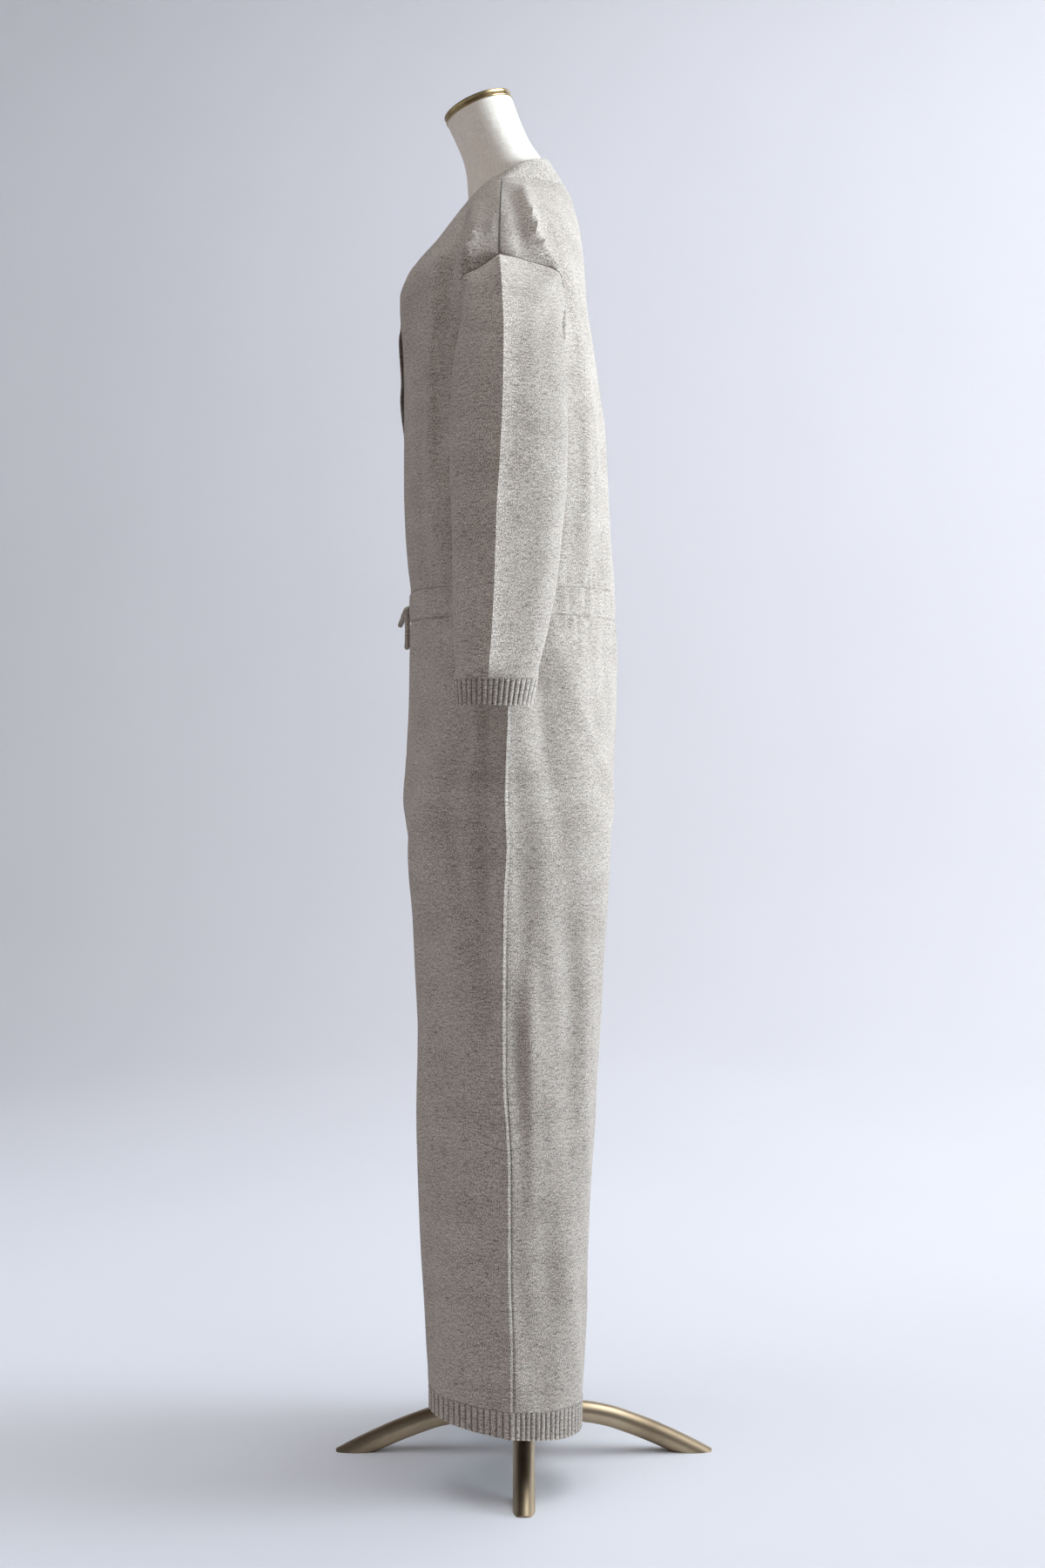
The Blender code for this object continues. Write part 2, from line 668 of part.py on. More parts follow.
def trouser_point(f, z, back, side):
    """Outer face of one trouser leg and its half of the hips.

    f runs from the inner edge (0) to the side crease (1). Above the crotch the inner edge
    is the centre seam, which curls under to the inseam between CROTCH_START and CROTCH.
    """
    curl = np.clip((CROTCH_START - z) / (CROTCH_START - CROTCH), 0, 1)
    start = math.pi / 2 * (1 - curl)
    angle = start + (math.pi - start) * f
    leg = INSEAM("left" if side > 0 else "right", np.minimum(z, CROTCH))
    shift = side * CROTCH_SHIFT * smoothstep((0.90 - z) / (0.90 - CROTCH))
    inner = np.where(z < CROTCH, leg, shift)
    half = (TROUSER("half_width", z) - inner) / 2
    middle = inner + half * np.cos(start)
    inside = angle < math.pi / 2
    bend = np.where(inside, 1.0, TROUSER("side_bend", z))
    reach = np.where(inside, half, TROUSER("half_width", z) - middle)
    depth = TROUSER("back" if back else "front", z) - TROUSER("ridge", z)
    x = middle - reach * np.cos(angle)
    ridge = INSEAM_Y + (TROUSER("ridge", z) - INSEAM_Y) * (x - inner) / (2 * half)
    full = power(np.sin(angle), bend)
    narrow = INSEAM("right_depth", z) if side < 0 else 1.0
    y = ridge + (TROUSER("ridge", z) + depth * narrow - ridge) * full
    drop = (CROTCH_START - CROTCH) * (np.sin(math.pi / 2 * curl) - curl)
    nearness = np.clip((math.pi / 2 - angle) / np.maximum(math.pi / 2 - start, 1e-9), 0, 1)
    height = z - drop * nearness**2 - TROUSER("tilt", z) * (y - TROUSER("ridge", z))
    parting = SEAM / 2 if back else -SEAM / 2
    return np.stack(np.broadcast_arrays(side * (x + SEAM / 2), y + parting, height), -1)


def trouser_normal(f, z, back, side):
    step = 0.004
    inner = np.clip(f, step, 1 - step)
    over = trouser_point(inner + step, z, back, side) - trouser_point(inner - step, z, back, side)
    up = trouser_point(inner, z + step, back, side) - trouser_point(inner, z - step, back, side)
    normal = np.cross(over, up) * side * (-1 if back else 1)
    normal[..., 1] *= f < 1 - step
    normal[..., 1] *= (f > step) | (z > CROTCH)
    return unit(normal)


def trouser_faces(f, z, back, side):
    f, z = np.broadcast_arrays(f, z)
    base = trouser_point(f, z, back, side)
    normal = trouser_normal(f, z, back, side)
    rise = fold_rise(TROUSER_FOLDS, f, z, back) + gather_rise(f, CASING_LOW - z)
    rise = rise * smoothstep((1 - f) / 0.12) * smoothstep(f / 0.10)
    outer = base + normal * rise[..., None]
    return outer, outer - normal * WALL


def make_trousers(collection, finish):
    f = np.linspace(0, 1, TROUSER_COLUMNS + 1)[None, :]
    z = np.array(TROUSER_ROWS)[:, None]
    for side, word in ((1, "left"), (-1, "right")):
        for back, face in ((False, "front"), (True, "back")):
            faces = trouser_faces(f, z, back, side)
            link(wall(f"trouser_{face}_{word}", *faces), collection, finish)


def make_hems(collection, finish):
    f = np.linspace(0, 1, HEM_RIBS + 1)[None, :]
    z = np.array([HEM_LOW, HEM_TOP])[:, None]
    rib = np.where(np.arange(HEM_RIBS + 1) % 2, RIB_RISE, 0.0)[None, :, None]
    for side, word in ((1, "left"), (-1, "right")):
        halves = []
        for back in (False, True):
            base, inner = trouser_faces(f, z, back, side)
            halves.append((base + unit(base - inner) * rib, inner))
        outer, inner = (
            np.concatenate([front[:, :-1], rear[:, :0:-1]], axis=1)
            for front, rear in zip(*halves)
        )
        link(wall("hem_rib_" + word, outer, inner, loop=True), collection, finish)


# ---- sleeves


def oval(turn, outer_x, outer_z, inner_x, inner_z, front, back, ridge):
    """A sleeve section: turn 0 is the outer crease and a quarter turn is the front."""
    lean = np.cos(turn)
    bend = np.where(lean > 0, 0.90, 1.0)
    depth = np.where(np.sin(turn) > 0, front - ridge, back - ridge)
    x = (outer_x + inner_x) / 2 + (outer_x - inner_x) / 2 * lean
    z = (outer_z + inner_z) / 2 + (outer_z - inner_z) / 2 * lean
    y = ridge + depth * np.abs(np.sin(turn)) ** bend
    return np.stack(np.broadcast_arrays(x, y, z), -1)


def armhole_ring():
    """The bodice's armhole edge as a ring from the shoulder point round the front."""
    points, normals = [], []
    for back in (False, True):
        x, z = side_edge(back)[BODICE_ROWS_SIDE:].T
        outer, inner = body_faces(across_at_x(x, z), z, back, 1)
        order = slice(None, 0, -1) if not back else slice(0, -1)
        points.append(outer[order])
        normals.append(unit(outer - inner)[order])
    return np.concatenate(points), np.concatenate(normals)


def seam_offset(ring, normal, onward):
    """Moves a ring clear of the panel that it is sewn to, towards where the cloth goes."""
    tangent = np.roll(ring, -1, axis=0) - np.roll(ring, 1, axis=0)
    into = unit(np.cross(tangent, normal))
    into *= np.sign(np.sum(into * (ring.mean(axis=0) - ring), axis=-1, keepdims=True))
    turn = np.arctan2(np.sum(onward * normal, -1), np.sum(onward * into, -1))[:, None]
    turn = np.clip(np.abs(turn), 0, math.pi)
    return 1.5 * SEAM * (np.cos(turn / 2) * into + np.sin(turn / 2) * normal)


def sleeve_rings(along, turn):
    names = SLEEVE.names[1:]
    values = [SLEEVE(name, along)[:, None] for name in names]
    return oval(turn[None, :], *values)


def make_sleeves(collection, finish):
    along = SLEEVE.rows[:, 0]
    turn = np.arange(2 * BODICE_ROWS_ARM) * math.pi / BODICE_ROWS_ARM
    rings = sleeve_rings(along, turn)
    armhole, normal = armhole_ring()
    fade = np.clip(1 - along / 0.30, 0, 1)[:, None, None] ** 2
    rings = rings + (armhole - rings[0]) * fade
    faces = grid_normals(rings, loop=True)
    rings[0] += seam_offset(rings[0], normal, unit(rings[1] - rings[0]))
    for flip, word in ((False, "left"), (True, "right")):
        outer, inner = rings, rings - faces * WALL
        if flip:
            outer, inner = mirrored(outer), mirrored(inner)
        link(wall("sleeve_" + word, outer, inner, loop=True), collection, finish)


def make_cuffs(collection, finish):
    turn = np.arange(2 * CUFF_RIBS) * math.pi / CUFF_RIBS
    z = np.array([CUFF_TOP - SEAM, CUFF_LOW])[:, None]
    sizes = {name: CUFF(name, z) for name in CUFF.names[1:]}
    base = oval(
        turn[None, :],
        sizes["outer_x"],
        z,
        sizes["inner_x"],
        z,
        sizes["front"],
        sizes["back"],
        sizes["ridge"],
    )
    normal = grid_normals(base, loop=True)
    rib = np.where(np.arange(2 * CUFF_RIBS) % 2, RIB_RISE, 0.0)[None, :, None]
    outer, inner = base + normal * rib, base - normal * WALL
    link(wall("cuff_rib_left", outer, inner, loop=True), collection, finish)
    link(wall("cuff_rib_right", mirrored(outer), mirrored(inner), loop=True), collection, finish)


# ---- drawstring ends

CORD_LEFT = (
    (0.0140, -0.1337, 0.9640),
    (0.0142, -0.1334, 0.9560),
    (0.0144, -0.1330, 0.9480),
    (0.0143, -0.1329, 0.9380),
    (0.0145, -0.1331, 0.9280),
    (0.0150, -0.1334, 0.9180),
)
CORD_RIGHT = (
    (-0.0140, -0.1305, 0.9665),
    (-0.0143, -0.1345, 0.9660),
    (-0.0200, -0.1378, 0.9615),
    (-0.0295, -0.1408, 0.9550),
    (-0.0400, -0.1445, 0.9475),
)
CORD_POINTS = 13


def smooth_route(places, count):
    """Points along a smooth curve through the places."""
    places = np.array(places)
    length = np.concatenate([[0], np.cumsum(np.linalg.norm(np.diff(places, axis=0), axis=1))])
    along = np.linspace(0, length[-1], count)
    return np.stack([monotone(length, places[:, k], along) for k in range(3)], -1)


def make_cords(collection, finish):
    for name, places in (("drawstring_left", CORD_LEFT), ("drawstring_right", CORD_RIGHT)):
        cord = tube(name, smooth_route(places, CORD_POINTS), CORD_RADIUS, rounding=2)
        link(cord, collection, finish)


# ---- dress form and stand


def form_ring_under_cloth(front_z, side_z, back_z):
    """A ring of the form a little inside the cloth, cut short at the armholes."""
    across = np.linspace(0, 1, FORM_COLUMNS + 1)
    rings = []
    for back, centre_z in ((False, front_z), (True, back_z)):
        z = side_z + (centre_z - side_z) * np.cos(across * math.pi / 2) ** 2
        clear = np.interp(across, FORM_CLEAR_AT, FORM_CLEAR)[:, None]
        point = body_point(across, z, back, 1) - body_normal(across, z, back, 1) * clear
        point[:, 1] = np.where(across == 1, BODY("ridge", side_z), point[:, 1])
        point[:, 0] = np.minimum(point[:, 0], FORM_ARMHOLE)
        rings.append(point)
    return full_ring(*rings)


def full_ring(front, back):
    """Joins the left front and back quarters and mirrors them to a closed ring."""
    left = np.concatenate([front, back[-2::-1]])
    return np.concatenate([left, mirrored(left[-2:0:-1])])


def form_ring(half_width, front, back, ridge, z):
    angle = np.linspace(0, 1, FORM_COLUMNS + 1) * math.pi / 2
    x = half_width * np.sin(angle)
    quarters = [
        np.stack([x, ridge + (depth - ridge) * np.cos(angle) ** 0.92, z + 0 * x], -1)
        for depth in (front, back)
    ]
    return full_ring(*quarters)


def neck_ring(front_y, front_z, back_y, back_z, half_width):
    """A tilted oval through its front and back points."""
    angle = np.linspace(0, 1, FORM_COLUMNS + 1) * math.pi / 2
    middle = np.array([0, (front_y + back_y) / 2, (front_z + back_z) / 2])
    quarters = []
    for y, z in ((front_y, front_z), (back_y, back_z)):
        reach = np.array([0, y, z]) - middle
        quarters.append(
            middle
            + np.cos(angle)[:, None] * reach
            + np.sin(angle)[:, None] * np.array([half_width, 0, 0])
        )
    return full_ring(*quarters)


def make_form(collection, finish):
    rings = []
    for z, half_width, front, back, ridge in FORM.rows:
        rings.append(form_ring(half_width, front, back, ridge, z))
    rings += [form_ring_under_cloth(*heights) for heights in FORM_UNDER_CLOTH]
    rings += [neck_ring(*sizes) for sizes in FORM_NECK]
    link(loft("form_body", np.array(rings)), collection, finish)


def make_cap(collection, finish):
    front_y, front_z, back_y, back_z, half_width = FORM_NECK[-1]
    along = unit(np.array([0, back_y - front_y, back_z - front_z]))
    up = np.cross(np.array([1.0, 0, 0]), along)
    middle = np.array([0, (front_y + back_y) / 2, (front_z + back_z) / 2])
    half_depth = math.hypot(back_y - front_y, back_z - front_z) / 2
    profile = (
        # height, growth of the radius, share of the radius
        (SEAM, 0.0, 1.0),
        (SEAM + 0.0015, CAP_LIP, 1.0),
        (CAP_THICK - 0.0020, CAP_LIP, 1.0),
        (CAP_THICK, -0.0010, 1.0),
        (CAP_THICK + 0.0022, 0.0, 0.55),
    )
    turn = np.arange(28) * 2 * math.pi / 28
    rings = []
    for height, growth, share in profile:
        x = np.cos(turn) * (half_width + growth) * share
        y = np.sin(turn) * (half_depth + growth) * share
        rings.append(middle + up * height + x[:, None] * np.array([1, 0, 0]) + y[:, None] * along)
    link(loft("neck_cap", np.array(rings)), collection, finish)


def make_pole_and_hub(collection, finish):
    low = HUB_HIGH + SEAM
    high = FORM_FLOOR - SEAM
    bpy.ops.mesh.primitive_cylinder_add(
        vertices=20, radius=POLE_RADIUS, depth=high - low, location=(0, 0, (low + high) / 2)
    )
    pole = bpy.context.object
    pole.name = "pole"
    pole.data.set_sharp_from_angle(angle=math.radians(50))
    link(pole, collection, finish)
    profile = (
        (0.0, HUB_HIGH),
        (HUB_RADIUS - 0.010, HUB_HIGH),
        (HUB_RADIUS - 0.003, HUB_HIGH - 0.002),
        (HUB_RADIUS, HUB_HIGH - 0.006),
        (HUB_RADIUS, HUB_LOW + 0.004),
        (HUB_RADIUS - 0.004, HUB_LOW),
        (0.0, HUB_LOW),
    )
    link(turned("hub", profile, 28), collection, finish)


# Centre line of a stand leg: distance from the pole, height.
LEG_ROUTE = Table(
    "reach height",
    (HUB_RADIUS + SEAM, 0.0450),
    (0.0550, 0.0455),
    (0.0700, 0.0445),
    (0.0950, 0.0402),
    (0.1250, 0.0305),
    (0.1550, 0.0185),
    (0.1850, 0.0045),
    (0.2100, -0.0085),
)


def make_stand_legs(collection, finish):
    """Four alike legs, each a bent tube cut flat at the floor."""
    reach = np.linspace(LEG_ROUTE.rows[0, 0], LEG_ROUTE.rows[-1, 0], 11)
    route = np.stack([reach, 0 * reach, LEG_ROUTE("height", reach)], -1)
    guide = tube("stand_leg", route, LEG_RADIUS, rounding=2)
    bpy.context.scene.collection.objects.link(guide)
    graph = bpy.context.evaluated_depsgraph_get()
    mesh = bpy.data.meshes.new_from_object(guide.evaluated_get(graph))
    bpy.data.objects.remove(guide)
    work = bmesh.new()
    work.from_mesh(mesh)
    bmesh.ops.remove_doubles(work, verts=work.verts, dist=0.00001)
    everything = work.verts[:] + work.edges[:] + work.faces[:]
    cut = bmesh.ops.bisect_plane(
        work, geom=everything, plane_co=(0, 0, 0), plane_no=(0, 0, -1), clear_outer=True
    )
    rim = [item for item in cut["geom_cut"] if isinstance(item, bmesh.types.BMEdge)]
    bmesh.ops.contextual_create(work, geom=rim)
    bmesh.ops.recalc_face_normals(work, faces=work.faces)
    work.to_mesh(mesh)
    work.free()
    mesh.shade_smooth()
    mesh.set_sharp_from_angle(angle=math.radians(50))
    for number, word in enumerate(("left", "back", "right", "front")):
        leg = bpy.data.objects.new("stand_leg_" + word, mesh)
        leg.rotation_euler.z = number * math.pi / 2
        link(leg, collection, finish)


def main():
    for obj in list(bpy.data.objects):
        bpy.data.objects.remove(obj, do_unlink=True)
    collection = bpy.data.collections.new("jumpsuit_on_dress_form")
    bpy.context.scene.collection.children.link(collection)
    knit = material("heather_knit", (0.36, 0.33, 0.29), 0.95)
    linen = material("linen", (0.50, 0.45, 0.37), 0.9)
    brass = material("brass", (0.62, 0.47, 0.22), 0.35, 1.0)
    antique = material("antique_brass", (0.34, 0.26, 0.15), 0.45, 1.0)
    make_bodice(collection, knit)
    make_bands(collection, knit)
    make_casing(collection, knit)
    make_trousers(collection, knit)
    make_hems(collection, knit)
    make_sleeves(collection, knit)
    make_cuffs(collection, knit)
    make_cords(collection, knit)
    make_form(collection, linen)
    make_cap(collection, brass)
    make_pole_and_hub(collection, antique)
    make_stand_legs(collection, antique)


main()
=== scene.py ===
"""Looks of a long-sleeved knitted jumpsuit on a limbless dress form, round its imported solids.

Metres, +Z up. The front faces -Y and the wearer's left is +X. The cloth pieces follow the
solids' own sections, with folds, gathers, ribs, seams and a knit worked out on top of them.
"""

import math
import random

import bmesh
import bpy
import numpy as np
from mathutils import Matrix, Vector


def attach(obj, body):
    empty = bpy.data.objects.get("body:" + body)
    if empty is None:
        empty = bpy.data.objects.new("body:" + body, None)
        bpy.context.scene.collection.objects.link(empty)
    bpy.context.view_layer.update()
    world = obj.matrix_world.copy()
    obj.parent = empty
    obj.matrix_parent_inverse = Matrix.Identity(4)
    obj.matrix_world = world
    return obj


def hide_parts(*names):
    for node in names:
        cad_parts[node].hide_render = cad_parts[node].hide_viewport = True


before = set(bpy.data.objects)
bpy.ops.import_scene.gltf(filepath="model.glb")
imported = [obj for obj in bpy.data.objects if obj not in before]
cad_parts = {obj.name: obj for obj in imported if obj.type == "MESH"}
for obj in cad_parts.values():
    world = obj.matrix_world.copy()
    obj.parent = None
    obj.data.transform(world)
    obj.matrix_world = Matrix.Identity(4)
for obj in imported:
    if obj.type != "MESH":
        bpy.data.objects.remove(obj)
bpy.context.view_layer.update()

# ---- sizes shared with the solids
WALL = 0.0020
SEAM = 0.0003
CASING_LOW = 0.9490
CASING_HIGH = 0.9810
UNDERARM = 1.1650
SHOULDER_POINT = 1.3288
NECK_SIDE_SEAM = 1.4365
NECK_BACK_SEAM = 1.4500
CROTCH_START = 0.8000
CROTCH = 0.6600
CROTCH_SHIFT = 0.0197
HEM_TOP = 0.1010
HEM_LOW = 0.0725
CUFF_TOP = 0.8785
CUFF_LOW = 0.8515
OVERLAP_SINK = 0.0024
BAND_BACK_Y = 0.0291
BAND_BACK_Z = 1.4775
BAND_BACK_BEND = 0.9
CUFF_RIBS = 36
HEM_RIBS = 66  # on a leg
CORD_RADIUS = 0.0030
FORM_CLEAR_AT = (0.0, 0.4, 0.80, 1.0)
FORM_ARMHOLE = 0.1660
FORM_FLOOR = 0.7650
CAP_THICK = 0.0085
POLE_RADIUS = 0.0125
HUB_RADIUS = 0.0340
HUB_LOW = 0.0300
HUB_HIGH = 0.0600
LEG_RADIUS = 0.0120

# ---- sizes of the looks alone
WALE = 0.0019  # one column of knit stitches
COURSE = 0.0014  # one row of knit stitches
RIB_SPREAD = np.array([0.55, 1.0, 1.0])  # ribs are evenly apart as seen from the side
RIB_DEPTH = 0.0013  # from a rib's crest to the groove beside it
RIB_STEPS = 10  # points across each rib
RIB_ROWS = np.array([0, 0.03, 0.08, 0.16, 0.30, 0.5, 0.7, 0.85, 0.94, 1.0])[:, None]
CLOTH_STEP = 0.0037  # about the size of a face of the cloth
# Extra rows beside a seam, at these distances from it.
EDGE_PLACES = (0.0005, 0.0013, 0.0021, 0.0028, 0.0036, 0.0044, 0.0056, 0.0074)
DITCH_DEPTH = 0.0005  # how far a seam draws the cloth in
DITCH_WIDTH = 0.0024
SHOULDER_DITCH = 0.0010
BAND_DITCH = 0.0006
HIDDEN_SIDE_RISE = 0.85  # the bodice's creases are lower on the side that doesn't show
BODICE_SHIFT = 0.014  # how far its creases are moved there, as a share of the way across
TROUSER_SHIFT = 0.02
RIPPLE = 0.0005
TROUSER_RIPPLE = 0.0007
HOLLOW_LIMIT = 0.0048  # how deep a crease's hollow may be over the form
HOLLOW_LIMIT_BELOW = 0.0030  # how much deeper it may be below the form
FORM_CLEAR = (0.0094, 0.0084, 0.0080, 0.0052)  # 2 mm more than in the solids, for the creases
SIDES = ((1, "left"), (-1, "right"))


def monotone(xs, ys, x):
    """Cubic curve through the points that never swings past them."""
    step = np.diff(xs)
    slope = np.diff(ys) / step
    both = slope[:-1] * slope[1:]
    total = slope[:-1] + slope[1:]
    inner = np.where(both > 0, 2 * both / np.where(total == 0, 1, total), 0)
    tangent = np.concatenate([slope[:1], inner, slope[-1:]])
    x = np.clip(x, xs[0], xs[-1])
    i = np.clip(np.searchsorted(xs, x, side="right") - 1, 0, len(step) - 1)
    t = (x - xs[i]) / step[i]
    rise = step[i] * (tangent[i] * (t**3 - 2 * t**2 + t) + tangent[i + 1] * (t**3 - t**2))
    return ys[i] + (ys[i + 1] - ys[i]) * (3 * t**2 - 2 * t**3) + rise


class Table:
    """Rows of named columns, read as smooth curves of the first column."""

    def __init__(self, names, *rows):
        self.names = names.split()
        self.rows = np.array(sorted(rows), float)

    def __call__(self, name, x):
        return monotone(self.rows[:, 0], self.rows[:, self.names.index(name)], x)


# Bodice and casing sections. side_bend and centre_bend shape the section towards the side
# ridge and the centre line: 1 is an ellipse, less is fuller and more is pointed.
BODY = Table(
    "z half_width front back ridge centre_bend side_bend",
    (0.9490, 0.1855, -0.1287, 0.1030, -0.0180, 0.95, 1.00),
    (0.9810, 0.1850, -0.1290, 0.1030, -0.0180, 0.92, 1.00),
    (1.0135, 0.1870, -0.1312, 0.1010, -0.0185, 0.90, 0.95),
    (1.0600, 0.1895, -0.1338, 0.0975, -0.0190, 0.88, 0.90),
    (1.1050, 0.1920, -0.1347, 0.0948, -0.0200, 0.87, 0.87),
    (1.1650, 0.1990, -0.1350, 0.0915, -0.0210, 0.87, 0.87),
    (1.2200, 0.2015, -0.1365, 0.0840, -0.0220, 0.87, 0.87),
    (1.2700, 0.2030, -0.1395, 0.0775, -0.0230, 0.87, 0.87),
    (1.3014, 0.2045, -0.1413, 0.0728, -0.0242, 0.87, 0.87),
    (1.3133, 0.2050, -0.1413, 0.0716, -0.0250, 0.88, 0.88),
    (1.3288, 0.2050, -0.1370, 0.0705, -0.0260, 0.92, 0.92),
    (1.3429, 0.1990, -0.1290, 0.0698, -0.0260, 0.97, 0.97),
    (1.3559, 0.1905, -0.1187, 0.0690, -0.0260, 1.00, 1.00),
    (1.3677, 0.1825, -0.1079, 0.0680, -0.0258, 1.02, 1.02),
    (1.3835, 0.1700, -0.0962, 0.0664, -0.0255, 1.06, 1.06),
    (1.4051, 0.1465, -0.0826, 0.0628, -0.0250, 1.21, 1.21),
    (1.4230, 0.1180, -0.0725, 0.0580, -0.0245, 1.33, 1.33),
    (1.4373, 0.0905, -0.0632, 0.0540, -0.0242, 1.33, 1.33),
    (1.4475, 0.0720, -0.0580, 0.0485, -0.0238, 1.33, 1.33),
    (1.4525, 0.0640, -0.0550, 0.0455, -0.0235, 1.30, 1.30),
)

# Where the neck and front band is sewn on, and its free edge.
NECK = Table(
    "seam_z seam_x edge_z edge_x",
    (0.9810, 0.0110, 0.9810, -0.0110),
    (1.2550, 0.0110, 1.2550, -0.0110),
    (1.2866, 0.0125, 1.2866, -0.0085),
    (1.3014, 0.0200, 1.3020, 0.0025),
    (1.3212, 0.0330, 1.3225, 0.0165),
    (1.3429, 0.0460, 1.3450, 0.0292),
    (1.3677, 0.0595, 1.3710, 0.0413),
    (1.3950, 0.0725, 1.4000, 0.0540),
    (1.4180, 0.0830, 1.4255, 0.0635),
    (1.4365, 0.0920, 1.4485, 0.0700),
)

# How far the overlapping band's free edge stands away from the body.
LAP_LIFT = Table(
    "z lift",
    (0.9810, 0.0000),
    (1.1395, 0.0000),
    (1.1565, 0.0016),
    (1.1815, 0.0048),
    (1.2005, 0.0060),
    (1.2265, 0.0040),
    (1.2545, 0.0042),
    (1.2727, 0.0036),
    (1.2909, 0.0000),
    (1.4365, 0.0000),
)

# The armhole from the underarm (0) to the shoulder point (1).
ARMHOLE = Table(
    "along front_y front_z back_y back_z",
    (0.00, -0.0210, 1.1650, -0.0210, 1.1650),
    (0.12, -0.0460, 1.1780, 0.0100, 1.1740),
    (0.25, -0.0580, 1.2000, 0.0260, 1.1930),
    (0.45, -0.0640, 1.2400, 0.0360, 1.2320),
    (0.65, -0.0645, 1.2780, 0.0370, 1.2740),
    (0.80, -0.0610, 1.3040, 0.0340, 1.3030),
    (0.90, -0.0470, 1.3140, 0.0240, 1.3175),
    (1.00, -0.0260, 1.3288, -0.0260, 1.3288),
)

# Sleeve sections from the armhole (0) to the cuff (1): the outer crease, the inner side, the
# furthest points to the front and back, and the depth at which the crease runs.
SLEEVE = Table(
    "along outer_x outer_z inner_x inner_z front back ridge",
    (0.000, 0.2050, 1.3288, 0.1990, 1.1650, -0.0640, 0.0360, -0.0260),
    (0.080, 0.2260, 1.3080, 0.2008, 1.1580, -0.0690, 0.0400, -0.0245),
    (0.170, 0.2450, 1.2760, 0.2008, 1.1460, -0.0735, 0.0435, -0.0225),
    (0.280, 0.2630, 1.2300, 0.2005, 1.1250, -0.0780, 0.0470, -0.0208),
    (0.400, 0.2770, 1.1720, 0.2000, 1.0950, -0.0800, 0.0497, -0.0215),
    (0.520, 0.2845, 1.1100, 0.1995, 1.0550, -0.0797, 0.0475, -0.0240),
    (0.640, 0.2880, 1.0500, 0.2010, 1.0100, -0.0778, 0.0425, -0.0277),
    (0.760, 0.2900, 0.9900, 0.2050, 0.9600, -0.0768, 0.0365, -0.0296),
    (0.880, 0.2910, 0.9300, 0.2130, 0.9150, -0.0765, 0.0260, -0.0325),
    (1.000, 0.2920, 0.8785, 0.2220, 0.8785, -0.0733, 0.0148, -0.0365),
)
CUFF = Table(
    "z outer_x inner_x front back ridge",
    (CUFF_LOW, 0.2905, 0.2235, -0.0712, 0.0085, -0.0375),
    (CUFF_TOP, 0.2920, 0.2220, -0.0733, 0.0148, -0.0365),
)

# Trouser sections: the furthest points, the side crease, and the slope of the cut at the hem.
TROUSER = Table(
    "z half_width front back ridge side_bend tilt",
    (0.0725, 0.1840, -0.1050, 0.0645, -0.0150, 0.90, 0.13),
    (0.1010, 0.1840, -0.1054, 0.0655, -0.0150, 0.90, 0.08),
    (0.1600, 0.1845, -0.1070, 0.0680, -0.0150, 0.90, 0.04),
    (0.2500, 0.1865, -0.1110, 0.0725, -0.0175, 0.90, 0.01),
    (0.3550, 0.1900, -0.1138, 0.0780, -0.0175, 0.90, 0.00),
    (0.4000, 0.1920, -0.1151, 0.0806, -0.0192, 0.90, 0.00),
    (0.4700, 0.1950, -0.1170, 0.0842, -0.0230, 0.90, 0.00),
    (0.5690, 0.1995, -0.1206, 0.0889, -0.0225, 0.90, 0.00),
    (0.6500, 0.2035, -0.1240, 0.0922, -0.0215, 0.90, 0.00),
    (0.7040, 0.2060, -0.1295, 0.0945, -0.0185, 0.91, 0.00),
    (0.7505, 0.2080, -0.1340, 0.0995, -0.0205, 0.92, 0.00),
    (0.8000, 0.2085, -0.1332, 0.1022, -0.0190, 0.94, 0.00),
    (0.8500, 0.2050, -0.1308, 0.1039, -0.0170, 0.96, 0.00),
    (0.9000, 0.1970, -0.1299, 0.1040, -0.0175, 0.98, 0.00),
    (0.9490, 0.1855, -0.1287, 0.1030, -0.0180, 1.00, 0.00),
)
# The inner side of each leg, and how far the right leg is drawn narrower by the pole in it.
INSEAM = Table(
    "z left right right_depth",
    (0.0725, 0.0245, -0.0172, 0.84),
    (0.4000, 0.0235, -0.0178, 0.88),
    (0.6000, 0.0215, -0.0188, 0.95),
    (0.6600, 0.0197, -0.0197, 1.00),
)
INSEAM_Y = 0.0

BODY_FOLDS = (
    # back, middle, half_width, low, high, rise
    (False, 0.64, 0.10, 1.06, 1.40, 0.0045),
    (False, 0.80, 0.08, 1.05, 1.36, -0.0035),
    (False, 0.38, 0.12, 0.99, 1.24, 0.0025),
    (True, 0.52, 0.12, 1.02, 1.38, 0.0040),
    (True, 0.72, 0.10, 1.00, 1.33, -0.0030),
    (True, 0.25, 0.12, 1.00, 1.20, 0.0025),
)
TROUSER_FOLDS = (
    (False, 0.55, 0.12, 0.62, 0.92, 0.0030),
    (False, 0.78, 0.08, 0.20, 0.60, -0.0030),
    (True, 0.60, 0.12, 0.70, 0.93, 0.0035),
    (True, 0.76, 0.07, 0.30, 0.68, -0.0035),
)
GATHER_WAVES = 2.2  # waves in each quarter of the waist
GATHER_RISE = 0.0018
GATHER_REACH = 0.0450

